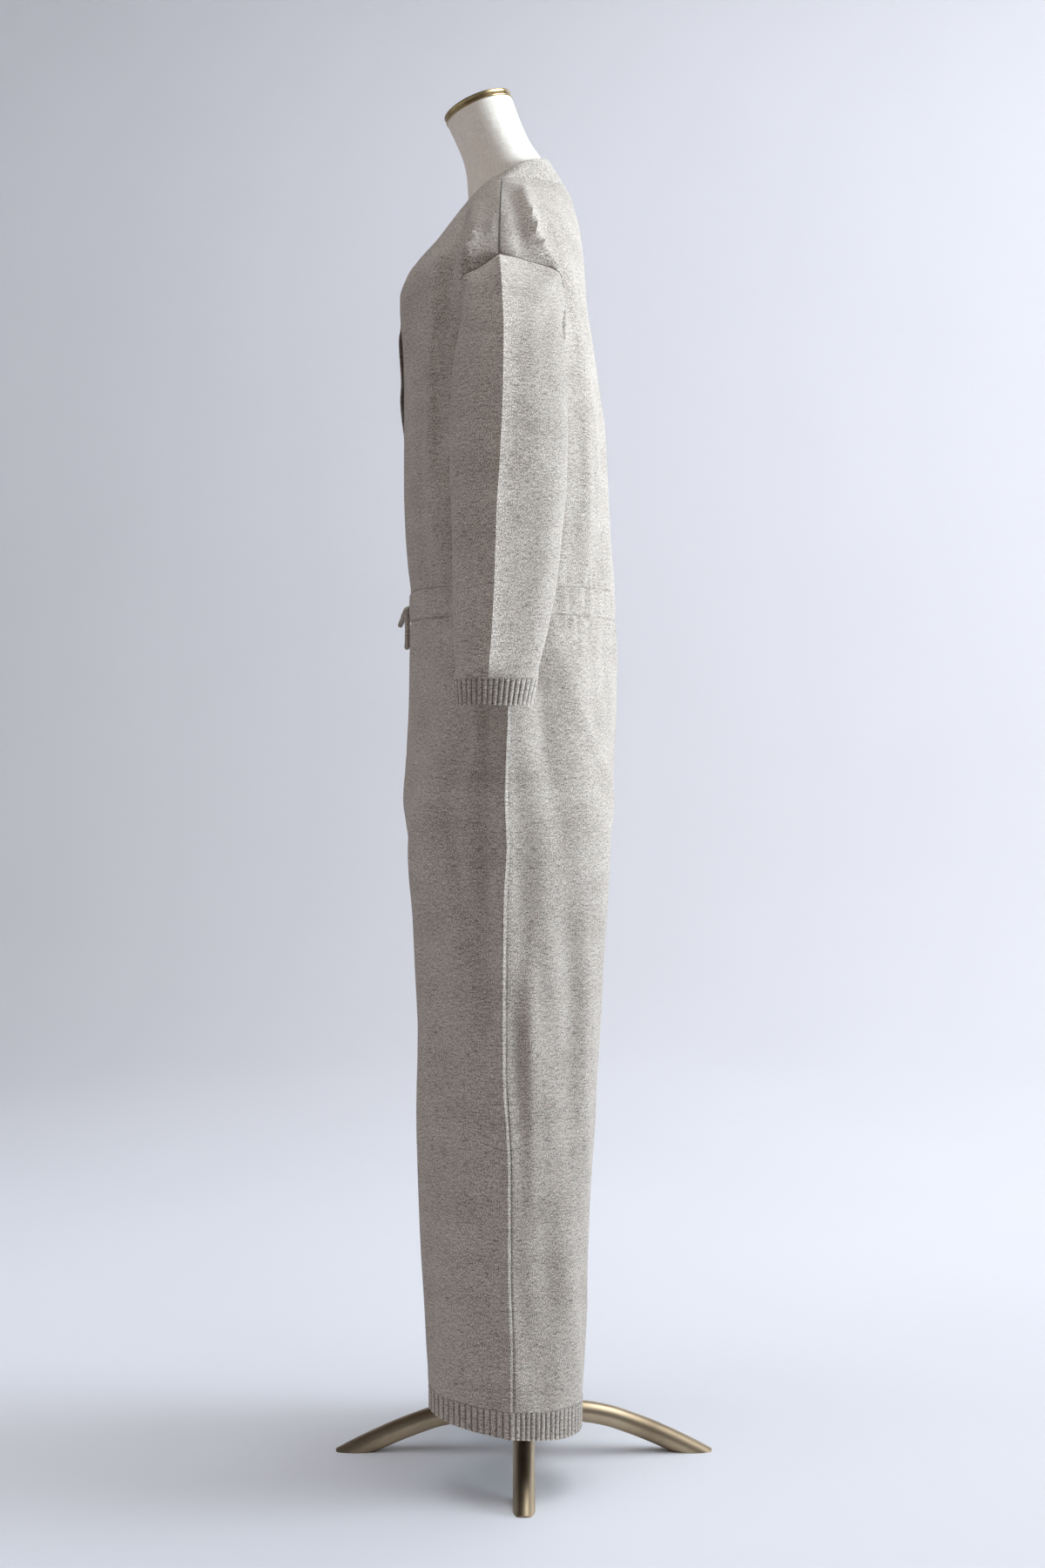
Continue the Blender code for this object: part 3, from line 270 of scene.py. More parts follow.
# Rings of the form inside the shoulders.
FORM_UNDER_CLOTH = (
    # front_z, side_z, back_z
    (1.330, 1.335, 1.335),
    (1.352, 1.360, 1.362),
    (1.372, 1.383, 1.387),
    (1.392, 1.405, 1.411),
    (1.410, 1.4245, 1.433),
    (1.426, 1.4400, 1.4475),
)
FORM = Table(
    "z half_width front back ridge",
    (0.7650, 0.1540, -0.1120, 0.0830, -0.0180),
    (0.7850, 0.1650, -0.1170, 0.0890, -0.0180),
    (0.8600, 0.1720, -0.1180, 0.0930, -0.0180),
    (0.9300, 0.1650, -0.1120, 0.0880, -0.0180),
    (0.9900, 0.1480, -0.1050, 0.0760, -0.0180),
    (1.0600, 0.1270, -0.0980, 0.0630, -0.0180),
    (1.1100, 0.1300, -0.1020, 0.0620, -0.0200),
    (1.1700, 0.1430, -0.1130, 0.0680, -0.0210),
    (1.2300, 0.1530, -0.1260, 0.0680, -0.0220),
    (1.2800, 0.1590, -0.1330, 0.0660, -0.0235),
    (1.3080, 0.1620, -0.1325, 0.0645, -0.0250),
)
# Neck rings, from the shoulders up to the cap.
FORM_NECK = (
    # front_y, front_z, back_y, back_z, half_width
    (-0.0640, 1.4400, 0.0320, 1.4600, 0.0545),
    (-0.0650, 1.4575, 0.0185, 1.4825, 0.0520),
    (-0.0690, 1.4780, 0.0070, 1.4995, 0.0510),
    (-0.0765, 1.4975, -0.0030, 1.5210, 0.0505),
    (-0.0875, 1.5205, -0.0135, 1.5495, 0.0505),
)

CORD_LEFT = (
    (0.0140, -0.1337, 0.9640),
    (0.0142, -0.1334, 0.9560),
    (0.0144, -0.1330, 0.9480),
    (0.0143, -0.1329, 0.9380),
    (0.0145, -0.1331, 0.9280),
    (0.0150, -0.1334, 0.9180),
)
CORD_RIGHT = (
    (-0.0140, -0.1305, 0.9665),
    (-0.0143, -0.1345, 0.9660),
    (-0.0200, -0.1378, 0.9615),
    (-0.0295, -0.1408, 0.9550),
    (-0.0400, -0.1445, 0.9475),
)
CORD_POINTS = 36

# Centre line of a stand leg: distance from the pole, height.
LEG_ROUTE = Table(
    "reach height",
    (HUB_RADIUS + SEAM, 0.0450),
    (0.0550, 0.0455),
    (0.0700, 0.0445),
    (0.0950, 0.0402),
    (0.1250, 0.0305),
    (0.1550, 0.0185),
    (0.1850, 0.0045),
    (0.2100, -0.0085),
)

# Creases of the bodice, further than the folds that the solids have. Each runs through places
# (z, share of the way from the centre to the side) and has half its width and its rise. The
# hidden side has the same ones, a little moved.
BODY_CREASES = (
    # back, half_width, rise, places
    (False, 0.0095, 0.0108, (
        (1.240, 0.800), (1.304, 0.828), (1.340, 0.830), (1.360, 0.805),
        (1.380, 0.765), (1.406, 0.660),
    )),
    (False, 0.0120, -0.0115, (
        (1.100, 0.618), (1.236, 0.652), (1.296, 0.708), (1.332, 0.718),
        (1.352, 0.698), (1.410, 0.480),
    )),
    (False, 0.0150, 0.0050, ((0.995, 0.560), (1.110, 0.540), (1.250, 0.580))),
    (False, 0.0170, -0.0046, ((0.990, 0.400), (1.090, 0.450), (1.230, 0.500))),
    (False, 0.0240, 0.0036, ((1.060, 0.300), (1.180, 0.330), (1.340, 0.440))),
    (False, 0.0120, -0.0036, ((0.985, 0.850), (1.120, 0.790))),
    (False, 0.0160, -0.0030, ((1.190, 0.230), (1.330, 0.470))),
    (True, 0.0085, 0.0110, (
        (1.240, 0.600), (1.298, 0.629), (1.324, 0.662), (1.342, 0.713),
        (1.363, 0.746), (1.394, 0.767), (1.430, 0.750),
    )),
    (True, 0.0130, -0.0080, (
        (1.080, 0.550), (1.190, 0.546), (1.256, 0.529), (1.300, 0.565),
        (1.339, 0.590), (1.380, 0.640), (1.415, 0.650),
    )),
    (True, 0.0130, -0.0062, ((1.315, 0.820), (1.363, 0.858), (1.415, 0.880))),
    (True, 0.0110, 0.0036, ((0.972, 0.530), (0.996, 0.517), (1.073, 0.504), (1.170, 0.470))),
    (True, 0.0140, -0.0030, ((0.980, 0.620), (1.120, 0.590))),
    (True, 0.0150, 0.0046, ((1.010, 0.380), (1.200, 0.400), (1.370, 0.460))),
    (True, 0.0200, -0.0034, ((1.000, 0.200), (1.300, 0.260))),
    (True, 0.0150, -0.0036, ((1.180, 0.340), (1.390, 0.330))),
)
TROUSER_CREASES = (
    # back, half_width, rise, places
    (False, 0.0100, 0.0044, ((0.690, 0.790), (0.788, 0.822), (0.852, 0.802), (0.940, 0.790))),
    (False, 0.0110, -0.0064, (
        (0.480, 0.975), (0.585, 0.962), (0.678, 0.944), (0.770, 0.918),
        (0.850, 0.892), (0.952, 0.870),
    )),
    (False, 0.0110, -0.0044, (
        (0.500, 0.968), (0.535, 0.956), (0.650, 0.872), (0.736, 0.767),
        (0.830, 0.660),
    )),
    (False, 0.0150, 0.0034, ((0.560, 0.760), (0.700, 0.680), (0.900, 0.640))),
    (False, 0.0180, -0.0034, ((0.300, 0.700), (0.640, 0.760))),
    (False, 0.0170, 0.0032, ((0.130, 0.850), (0.420, 0.800))),
    (False, 0.0240, 0.0034, ((0.130, 0.480), (0.500, 0.560))),
    (False, 0.0240, -0.0034, ((0.480, 0.400), (0.880, 0.480))),
    (False, 0.0160, -0.0030, ((0.110, 0.640), (0.330, 0.620))),
    (True, 0.0075, 0.0034, ((0.290, 0.925), (0.400, 0.924), (0.514, 0.927), (0.640, 0.922))),
    (True, 0.0070, -0.0016, ((0.300, 0.962), (0.640, 0.960))),
    (True, 0.0160, 0.0042, (
        (0.680, 0.300), (0.800, 0.420), (0.844, 0.600), (0.889, 0.675),
        (0.970, 0.780),
    )),
    (True, 0.0160, -0.0046, ((0.420, 0.760), (0.600, 0.800), (0.780, 0.790), (0.930, 0.860))),
    (True, 0.0140, 0.0036, ((0.330, 0.640), (0.560, 0.720))),
    (True, 0.0200, 0.0036, ((0.120, 0.720), (0.360, 0.760))),
    (True, 0.0150, -0.0036, ((0.100, 0.860), (0.320, 0.850))),
    (True, 0.0240, -0.0036, ((0.200, 0.500), (0.600, 0.580))),
)
# The sleeve's creases run along it: where they start and end along the sleeve (0 armhole,
# 1 cuff), at which turn from the outer crease (1 the front, -1 the back, 2 underneath).
SLEEVE_CREASES = (
    # low_along, low_turn, high_along, high_turn, half_width, rise
    (0.02, 0.86, 0.34, 0.96, 0.0090, 0.0022),
    (0.05, 0.45, 0.60, 0.52, 0.0150, -0.0018),
    (0.35, 0.70, 0.96, 0.62, 0.0120, 0.0016),
    (0.02, -0.62, 0.30, -0.90, 0.0090, 0.0030),
    (0.06, -0.40, 0.55, -0.46, 0.0140, -0.0020),
    (0.45, -0.64, 0.98, -0.50, 0.0110, 0.0022),
    (0.50, -0.30, 0.95, -0.28, 0.0120, -0.0012),
    (0.30, 1.60, 0.75, 1.55, 0.0130, -0.0022),
    (0.05, 1.90, 0.45, 1.80, 0.0140, 0.0024),
)


# ---- shared shapes


def unit(vectors):
    return vectors / np.maximum(np.linalg.norm(vectors, axis=-1, keepdims=True), 1e-12)


def mirrored(points):
    return points * np.array([-1.0, 1.0, 1.0])


def power(base, exponent):
    return np.maximum(base, 0) ** exponent


def smoothstep(x):
    x = np.clip(x, 0, 1)
    return x * x * (3 - 2 * x)


def pairs(first, second):
    return np.stack(np.broadcast_arrays(first, second), -1).astype(float)


def along_line(points):
    """Distance along a line of points, from its first one."""
    steps = np.linalg.norm(np.diff(points, axis=0), axis=-1)
    return np.concatenate([[0], np.cumsum(steps)])


def along_rows(grid):
    """Distance along each row of a grid, from its first point."""
    steps = np.linalg.norm(np.diff(grid, axis=1), axis=-1)
    return np.concatenate([np.zeros((len(grid), 1)), np.cumsum(steps, axis=1)], axis=1)


def closed_rings(rings):
    """Rings with their first point again at the end."""
    return np.concatenate([rings, rings[:, :1]], axis=1)


def spaced_line(points, count):
    """The same line with evenly spaced points."""
    length = along_line(points)
    wanted = np.linspace(0, length[-1], count)
    return np.stack([np.interp(wanted, length, points[:, k]) for k in range(3)], -1)


def grid_normals(points, loop=False):
    if loop:
        across = np.roll(points, -1, axis=1) - np.roll(points, 1, axis=1)
    else:
        across = np.gradient(points, axis=1)
    return unit(np.cross(across, np.gradient(points, axis=0)))


def places(size, step=CLOTH_STEP, low=True, high=True):
    """Shares of a length from 0 to 1, with extra ones beside a sewn end."""
    even = np.linspace(0, 1, max(2, round(size / step)) + 1)
    near = np.array(EDGE_PLACES) / size
    keep = (even < 1e-9) | (even > 1 - 1e-9)
    keep |= ((even > near[-1] * 1.3) | (not low)) & ((even < 1 - near[-1] * 1.3) | (not high))
    extra = [near] if low else []
    extra += [1 - near] if high else []
    return np.unique(np.concatenate([even[keep], *extra]))


def arc(point, across, z, back, side, start=0.0, steps=24):
    """Length of a surface's section at height z, from start to across."""
    across, z = np.broadcast_arrays(across, z)
    share = np.linspace(0, 1, steps + 1)
    line = point(start + (across[..., None] - start) * share, z[..., None], back, side)
    return np.linalg.norm(np.diff(line, axis=-2), axis=-1).sum(-1)


def evenly(line, count):
    """Places on a curve, as shares from 0 to 1, that lie equally far apart along it."""
    share = np.linspace(0, 1, 2001)
    length = along_line(line(share))
    return np.interp(np.linspace(0, length[-1], count), length, share)


def ditch(distance, depth=DITCH_DEPTH):
    """How far the cloth is drawn in at this distance from a seam."""
    return -depth * (1 - smoothstep(distance / DITCH_WIDTH))


def fold_profile(distance, rise):
    """Section of a fold: a ridge is crisp along its top and a hollow is round."""
    if rise > 0:
        return np.exp(0.5 - np.sqrt(distance**2 + 0.25))
    return np.exp(-(distance**1.8))


def press(distance, height, width):
    """Section of a pressed crease, sharp where it was ironed and hollow beside it."""
    return height * (np.exp(-distance / width) - 0.3)


def crease_rise(creases, across, z, back, quarter):
    """Sum of the slanting creases; quarter is the length of the section at height z."""
    across, z = np.broadcast_arrays(across, z)
    total = np.zeros(z.shape)
    for is_back, half_width, rise, through in creases:
        if is_back != back:
            continue
        heights, shares = np.array(through).T
        share = np.clip((z - heights[0]) / (heights[-1] - heights[0]), 0, 1)
        at = np.clip(z, heights[0], heights[-1])
        line = monotone(heights, shares, at.ravel()).reshape(z.shape)
        distance = np.abs(across - line) * quarter / half_width
        taper = np.sin(math.pi * share) ** 0.6
        uneven = 1 + 0.16 * np.sin(7.3 * share + 31 * shares[0])
        total += rise * uneven * taper * fold_profile(distance, rise)
    limit = HOLLOW_LIMIT + HOLLOW_LIMIT_BELOW * smoothstep((FORM_FLOOR + 0.10 - z) / 0.10)
    return np.where(total < 0, -limit * np.tanh(-total / limit), total)


def ripple(u, v, seed, height=RIPPLE):
    """Slight uneven waviness of hanging knit."""
    draw = random.Random(seed)
    total = np.zeros(np.broadcast(u, v).shape)
    for _ in range(7):
        angle = draw.uniform(-0.5, 0.5)
        length = draw.uniform(0.035, 0.120)
        phase = draw.uniform(0, 2 * math.pi)
        slow = draw.uniform(0.15, 0.35)
        total += np.sin(2 * math.pi * (u * math.cos(angle) + v * slow) / length + phase)
    return height * total / 2


# ---- the body's surface


def fold_rise(folds, across, z, back):
    """Sum of the soft folds that the solids have too."""
    total = np.zeros(np.broadcast(across, z).shape)
    for is_back, middle, half_width, low, high, rise in folds:
        if is_back != back:
            continue
        side = np.exp(-(((across - middle) / half_width) ** 2) * 2)
        height = np.clip((z - low) / (high - low), 0, 1)
        total += rise * side * np.sin(math.pi * height)
    return total


def gather_rise(across, distance):
    """Gathers that start at a seam and die out with distance from it."""
    reach = np.clip(distance / GATHER_REACH, 0, None)
    return GATHER_RISE * np.sin(2 * math.pi * GATHER_WAVES * across) * reach * np.exp(1 - reach)


def fine_gathers(u, distance, seed):
    """Small uneven puckers right beside a gathered seam."""
    draw = random.Random(seed)
    total = np.zeros(np.broadcast(u, distance).shape)
    for _ in range(5):
        length = draw.uniform(0.011, 0.026)
        total += np.sin(2 * math.pi * u / length + draw.uniform(0, 6))
    near = np.exp(-((distance / 0.020) ** 2)) * smoothstep(distance / 0.004)
    return 0.00042 * total * near


def body_point(across, z, back, side):
    """Outer face of the body: across runs from the centre line (0) to the side ridge (1)."""
    angle = across * math.pi / 2
    ridge = BODY("ridge", z)
    depth = BODY("back" if back else "front", z) - ridge
    x = BODY("half_width", z) * power(np.sin(angle), BODY("centre_bend", z))
    y = ridge + depth * power(np.cos(angle), BODY("side_bend", z))
    parting = SEAM / 2 if back else -SEAM / 2
    return np.stack(np.broadcast_arrays(side * x, y + parting, z), -1)


def face_normal(point, across, z, back, side):
    """Outward normal of a surface given by its point function."""
    step = 0.004
    inner = np.clip(across, step, 1 - step)
    over = point(inner + step, z, back, side) - point(inner - step, z, back, side)
    up = point(inner, z + step, back, side) - point(inner, z - step, back, side)
    return np.cross(over, up) * side * (-1 if back else 1), step


def body_normal(across, z, back, side):
    normal, step = face_normal(body_point, across, z, back, side)
    normal[..., 1] *= across < 1 - step
    normal[..., 0] *= across > step
    return unit(normal)


def lap_rise(x, z, side):
    """The left front sinks near the centre line to lie under the right one."""
    if side < 0:
        return np.zeros_like(x)
    near = smoothstep((0.050 - np.abs(x)) / 0.036)
    below_v = 1 - smoothstep((z - 1.308) / 0.030)
    return -OVERLAP_SINK * near * below_v


def body_base(across, z, back, side):
    """Outer points and normals as the solids have them."""
    base = body_point(across, z, back, side)
    normal = body_normal(across, z, back, side)
    rise = fold_rise(BODY_FOLDS, across, z, back) + gather_rise(across, z - CASING_HIGH)
    rise *= smoothstep((1 - across) / 0.12) * smoothstep(across / 0.10)
    if not back:
        rise = rise + lap_rise(base[..., 0], z, side)
    return base + normal * rise[..., None], normal


def across_at_x(x, z):
    ratio = np.clip(x / BODY("half_width", z), 0, 1)
    return np.arcsin(ratio ** (1 / BODY("centre_bend", z))) * 2 / math.pi


def across_at_y(y, z, back):
    ridge = BODY("ridge", z)
    ratio = np.clip((y - ridge) / (BODY("back" if back else "front", z) - ridge), 0, 1)
    return np.arccos(ratio ** (1 / BODY("side_bend", z))) * 2 / math.pi


def x_at_across(across, z):
    return BODY("half_width", z) * power(np.sin(across * math.pi / 2), BODY("centre_bend", z))


# ---- meshes


def placed(name, mesh, sharp_angle=50):
    mesh.shade_smooth()
    if sharp_angle:
        mesh.set_sharp_from_angle(angle=math.radians(sharp_angle))
    obj = bpy.data.objects.new(name, mesh)
    bpy.context.scene.collection.objects.link(obj)
    return obj


def closed_mesh(name, points, faces, maps=None, sharp_angle=50):
    """A closed object with its faces turned outwards, and UV maps from one pair a corner."""
    mesh = bpy.data.meshes.new(name)
    mesh.from_pydata(points, [], faces)
    for word, corners in (maps or {}).items():
        layer = mesh.uv_layers.new(name=word)
        layer.data.foreach_set("uv", corners.astype(np.float32).ravel())
    work = bmesh.new()
    work.from_mesh(mesh)
    bmesh.ops.recalc_face_normals(work, faces=work.faces)
    work.to_mesh(mesh)
    work.free()
    return placed(name, mesh, sharp_angle)


def quads(rows, columns, loop):
    """Corner rows and columns of every quad of a grid."""
    i, j = np.meshgrid(np.arange(rows - 1), np.arange(columns if loop else columns - 1), indexing="ij")
    i, j = i.ravel(), j.ravel()
    return np.stack([i, i, i + 1, i + 1], 1), np.stack([j, j + 1, j + 1, j], 1)


def rims(rows, columns, loop):
    """Pairs of neighbouring grid places along each open edge."""
    turn = np.arange(columns if loop else columns - 1)
    lines = [(np.full_like(turn, i), turn, np.full_like(turn, i), turn + 1) for i in (0, rows - 1)]
    if not loop:
        up = np.arange(rows - 1)
        lines += [(up, np.full_like(up, j), up + 1, np.full_like(up, j)) for j in (0, columns - 1)]
    return [np.concatenate(parts) for parts in zip(*lines)]


def cloth(name, outer, inner, uv, loop=False, ribs=None):
    """A closed wall between two grids. uv is in metres of flat knit, with a column more on a
    loop, and ribs is how many ribs go round.
    """
    rows, columns = outer.shape[:2]
    count = rows * columns
    i, j = quads(rows, columns, loop)
    face = i * columns + j % columns
    a_i, a_j, b_i, b_j = rims(rows, columns, loop)
    a, b = a_i * columns + a_j % columns, b_i * columns + b_j % columns
    faces = np.concatenate([face, face + count, np.stack([a, b, b + count, a + count], 1)])

    def on_rim(values):
        first, second = values[a_i, a_j], values[b_i, b_j]
        return np.stack([first, second, second, first], 1)

    rim_uv = on_rim(uv)
    rim_uv[:, 2:] += WALL
    maps = {"knit": np.concatenate([uv[i, j], uv[i, j], rim_uv])}
    if ribs:
        phase = pairs(np.linspace(0, ribs, uv.shape[1]), np.ones((rows, 1)))
        blank = np.zeros((len(face), 4, 2))
        maps["ribs"] = np.concatenate([phase[i, j], blank, on_rim(phase)])
    points = np.concatenate([outer.reshape(-1, 3), inner.reshape(-1, 3)])
    return closed_mesh(name, points.tolist(), faces.tolist(), maps)


def turned(profile, sides):
    """Rings round the Z axis from (radius, height) pairs."""
    turn = np.arange(sides) * 2 * math.pi / sides
    rings = [np.stack([r * np.cos(turn), r * np.sin(turn), h + 0 * turn], -1) for r, h in profile]
    return np.array(rings)


def loft(name, rings, uv=None):
    """A closed solid through rings of points, its two ends filled with fans."""
    rows, columns = rings.shape[:2]
    i, j = quads(rows, columns, True)
    faces = (i * columns + j % columns).tolist()
    points = rings.reshape(-1, 3).tolist()
    for row in (0, rows - 1):
        start = row * columns
        faces += [[start + k, start + (k + 1) % columns, len(points)] for k in range(columns)]
        points.append(rings[row].mean(axis=0).tolist())
    maps = {}
    if uv is not None:
        ends = np.repeat(uv[[0, -1], 0], 3 * columns, axis=0)
        maps["knit"] = np.concatenate([uv[i, j].reshape(-1, 2), ends])
    return closed_mesh(name, points, faces, maps)


def stands_for(obj, finish, slot, *nodes):
    """Gives a piece its material and ties it to the solids that it replaces."""
    obj.data.materials.append(finish)
    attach(obj, "root")
    if nodes:
        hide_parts(*nodes)


def knit_piece(name, finish, outer, inner, uv, **shape):
    made = cloth("knit_" + name, outer, inner, uv, **shape)
    stands_for(made, finish, "heather_knit", name)


def pair_of_tubes(name, finish, outer, inner, uv, **shape):
    """The left tube of cloth and its mirror image on the right."""
    for _, word in SIDES:
        knit_piece(name + word, finish, outer, inner, uv, loop=True, **shape)
        outer, inner = mirrored(outer), mirrored(inner)


def joined(halves):
    """Whole grids from those of a right and a left half."""
    return [np.concatenate([right[:, :0:-1], left], axis=1) for right, left in zip(*halves)]


# ---- bodice

SIDE_SHARE = 0.45  # the share of a panel's outer edge that is side seam; the rest is armhole
SPREAD_BEND = 0.87
NECK_SHARE = 0.36  # the share of the back's top edge that is neckline
# About how long the rows and columns of the pieces are.
BODICE_HEIGHT = 0.45
BODICE_WIDTH = 0.25
NECK_WIDTH = 0.09
SHOULDER_WIDTH = 0.19
NECK_BAND_LENGTH = 0.11
FRONT_BAND_LENGTH = 0.50
TROUSER_WIDTH = 0.33
SLEEVE_LENGTH = 0.46


def spread_width(z):
    """Half width at and below the shoulder point, kept up to the neck."""
    return BODY("half_width", np.minimum(z, SHOULDER_POINT))


def armhole_edge(along, back):
    """(across, z) on the armhole, from the underarm (0) to the shoulder point (1)."""
    face = "back" if back else "front"
    z = ARMHOLE(face + "_z", along)
    across = across_at_y(ARMHOLE(face + "_y", along), z, back)
    return np.where((along <= 0) | (along >= 1), 1.0, across), z


def outer_edge(share, back):
    """(x, z) up the side seam, then up the armhole."""
    along = np.clip((share - SIDE_SHARE) / (1 - SIDE_SHARE), 0, 1)
    across, z = armhole_edge(along, back)
    low = CASING_HIGH + SEAM
    z = np.where(share < SIDE_SHARE, low + (UNDERARM - low) * share / SIDE_SHARE, z)
    return pairs(x_at_across(np.where(share < SIDE_SHARE, 1.0, across), z), z)


def shoulder_edge(share):
    """(x, z) along the shoulder seam, from the neck (0) to the shoulder point (1)."""
    z = np.linspace(NECK_SIDE_SEAM, SHOULDER_POINT, 80)
    line = pairs(BODY("half_width", z), z)
    length = along_line(line)
    z = np.interp(share * length[-1], length, z)
    return pairs(BODY("half_width", z), z)


def inner_edge(share):
    """(x, z) where a front meets its band: up the opening, then up the V."""
    z = CASING_HIGH + SEAM + (NECK_SIDE_SEAM - CASING_HIGH - SEAM) * share
    x = np.where(share >= 1, BODY("half_width", z), NECK("seam_x", z))
    return pairs(x, z)


def neck_line(share):
    """(across, z) of the band seam at the back of the neck, from the middle to the side."""
    return share, NECK_SIDE_SEAM + (NECK_BACK_SEAM - NECK_SIDE_SEAM) * (1 - share**2)


def panel(low, high, left, right, u, v):
    """Grid of (across, z) inside four edges of (x, z)."""
    edges = []
    for edge in (low, high, left, right):
        ratio = np.clip(edge[:, 0] / spread_width(edge[:, 1]), 0, 1)
        edges.append(pairs(np.arcsin(ratio ** (1 / SPREAD_BEND)), edge[:, 1]))
    low, high, left, right = edges
    u, v = u[None, :, None], v[:, None, None]
    left, right = left[:, None], right[:, None]
    ruled = (1 - v) * low + v * high + (1 - u) * left + u * right
    corners = (1 - u) * ((1 - v) * low[0] + v * high[0]) + u * ((1 - v) * low[-1] + v * high[-1])
    grid = ruled - corners
    z = grid[..., 1]
    x = spread_width(z) * power(np.sin(grid[..., 0]), SPREAD_BEND)
    return across_at_x(x, z), z


def front_places():
    u = places(BODICE_WIDTH)
    v = places(BODICE_HEIGHT)
    left = inner_edge(v)
    low_z = left[0, 1]
    start = across_at_x(left[0, 0], low_z)
    low = pairs(x_at_across(start + (1 - start) * u, low_z), low_z)
    return panel(low, shoulder_edge(u), left, outer_edge(v, False), u, v)


def back_places():
    v = places(BODICE_HEIGHT)
    neck = places(NECK_WIDTH, low=False, high=False)
    shoulder = places(SHOULDER_WIDTH, low=False)
    u = np.concatenate([neck * NECK_SHARE, NECK_SHARE + shoulder[1:] * (1 - NECK_SHARE)])
    across, z = neck_line(neck)
    high = np.concatenate([pairs(x_at_across(across, z), z), shoulder_edge(shoulder[1:])])
    bottom = CASING_HIGH + SEAM
    low = pairs(x_at_across(u, bottom), bottom)
    middle = pairs(np.zeros(len(v)), bottom + (NECK_BACK_SEAM - bottom) * v)
    return panel(low, high, middle, outer_edge(v, True), u, v)


def bodice_outer(across, z, back, side):
    """Outer points, with the folds and creases, and normals."""
    base, normal = body_base(across, z, back, side)
    quarter = arc(body_point, np.ones_like(across), z, back, side)
    u = arc(body_point, across, z, back, side)
    level = np.linspace(CASING_HIGH, NECK_BACK_SEAM + 0.01, 160)
    length = along_line(body_point(0.45, level, back, side))
    v = np.interp(z, level, length)
    shift = BODICE_SHIFT if side < 0 else 0.0
    rise = crease_rise(BODY_CREASES, across + shift, z, back, quarter)
    rise = rise * (HIDDEN_SIDE_RISE if side < 0 else 1.0)
    rise += fine_gathers(u, z - CASING_HIGH, 3 + back + 10 * side)
    rise += ripple(u * (2 * back - 1), v, 11 + 2 * back + side)
    rise *= smoothstep((1 - across) / 0.05) * smoothstep(across / 0.05)
    if back:
        to_neck = NECK_SIDE_SEAM + (NECK_BACK_SEAM - NECK_SIDE_SEAM) * (1 - across**2) - z
    else:
        to_neck = base[..., 0] * side - NECK("seam_x", z)
    rise *= smoothstep(to_neck / 0.024)
    return base + normal * rise[..., None], normal, pairs(side * u, v)


def edge_distances(points):
    """Distance of each grid point from the grid's left, right, low and high edges."""
    left = along_rows(points)
    low = along_rows(points.swapaxes(0, 1)).T
    return left, left[:, -1:] - left, low, low[-1:] - low


def sewn(points, normal, depths):
    """Draws a panel in along its left, right, low and high edges."""
    total = np.zeros(points.shape[:2])
    for distance, depth in zip(edge_distances(points), depths):
        if depth:
            total = np.minimum(total, ditch(distance, depth))
    return points + normal * total[..., None]


def make_bodice(finish):
    for side, word in SIDES:
        outer, normal, uv = bodice_outer(*front_places(), False, side)
        drawn = sewn(outer, normal, (BAND_DITCH, DITCH_DEPTH, DITCH_DEPTH, SHOULDER_DITCH))
        knit_piece("bodice_front_" + word, finish, drawn, outer - normal * WALL, uv)
    halves = []
    for side in (-1, 1):
        outer, normal, uv = bodice_outer(*back_places(), True, side)
        drawn = sewn(outer, normal, (0, DITCH_DEPTH, DITCH_DEPTH, SHOULDER_DITCH))
        halves.append((drawn, outer - normal * WALL, uv))
    knit_piece("bodice_back", finish, *joined(halves))


# ---- neck and front bands

# Shares of a band's width, closer together beside its seam and its free edge.
BAND_COLUMNS = np.array([0, 0.03, 0.08, 0.16, 0.30, 0.44, 0.58, 0.72, 0.84, 0.92, 0.965, 0.99, 1.0])
BAND_CROWN = 0.0003
BAND_ROUNDING = 0.0006  # how far each face is drawn in along the free edge


def neck_turn():
    return places(NECK_BAND_LENGTH, low=False, high=False)[1:]


def band_heights():
    low = CASING_HIGH + SEAM
    return low + (NECK_SIDE_SEAM - low) * places(FRONT_BAND_LENGTH, high=False)


def band_edge(side):
    """Free edge of a band: up the front opening, up the V and round the neck."""
    heights = band_heights()
    z = NECK("edge_z", heights)
    x = NECK("edge_x", heights)
    toward = side * np.where(x < 0, -1, 1)
    across = across_at_x(np.abs(x), z)
    point = body_point(across, z, False, 1)
    normal = body_normal(across, z, False, 1)
    point[:, 0] *= toward
    normal[:, 0] *= toward
    rise = lap_rise(point[:, 0], z, side)
    if side < 0:
        rise = rise + LAP_LIFT("lift", z)
    front = point + normal * rise[:, None]
    turn = neck_turn() * math.pi / 2
    x, y, z = front[-1]
    back = np.stack(
        [
            x * np.cos(turn),
            y + (BAND_BACK_Y - y) * np.sin(turn),
            z + (BAND_BACK_Z - z) * np.sin(turn) ** BAND_BACK_BEND,
        ],
        -1,
    )
    back[-1, 0] = side * SEAM / 2
    return np.concatenate([front, back])


def band_seam(side):
    """The band's sewn edge and the cloth's normal there."""
    z = band_heights()
    across = across_at_x(NECK("seam_x", z), z)
    across[-1] = 1
    front, front_normal = body_base(across, z, False, side)
    across, z = neck_line(1 - neck_turn())
    back, back_normal = body_base(across, z, True, side)
    points = np.concatenate([front, back])
    points[-1, 0] = side * SEAM / 2
    return points, np.concatenate([front_normal, back_normal])


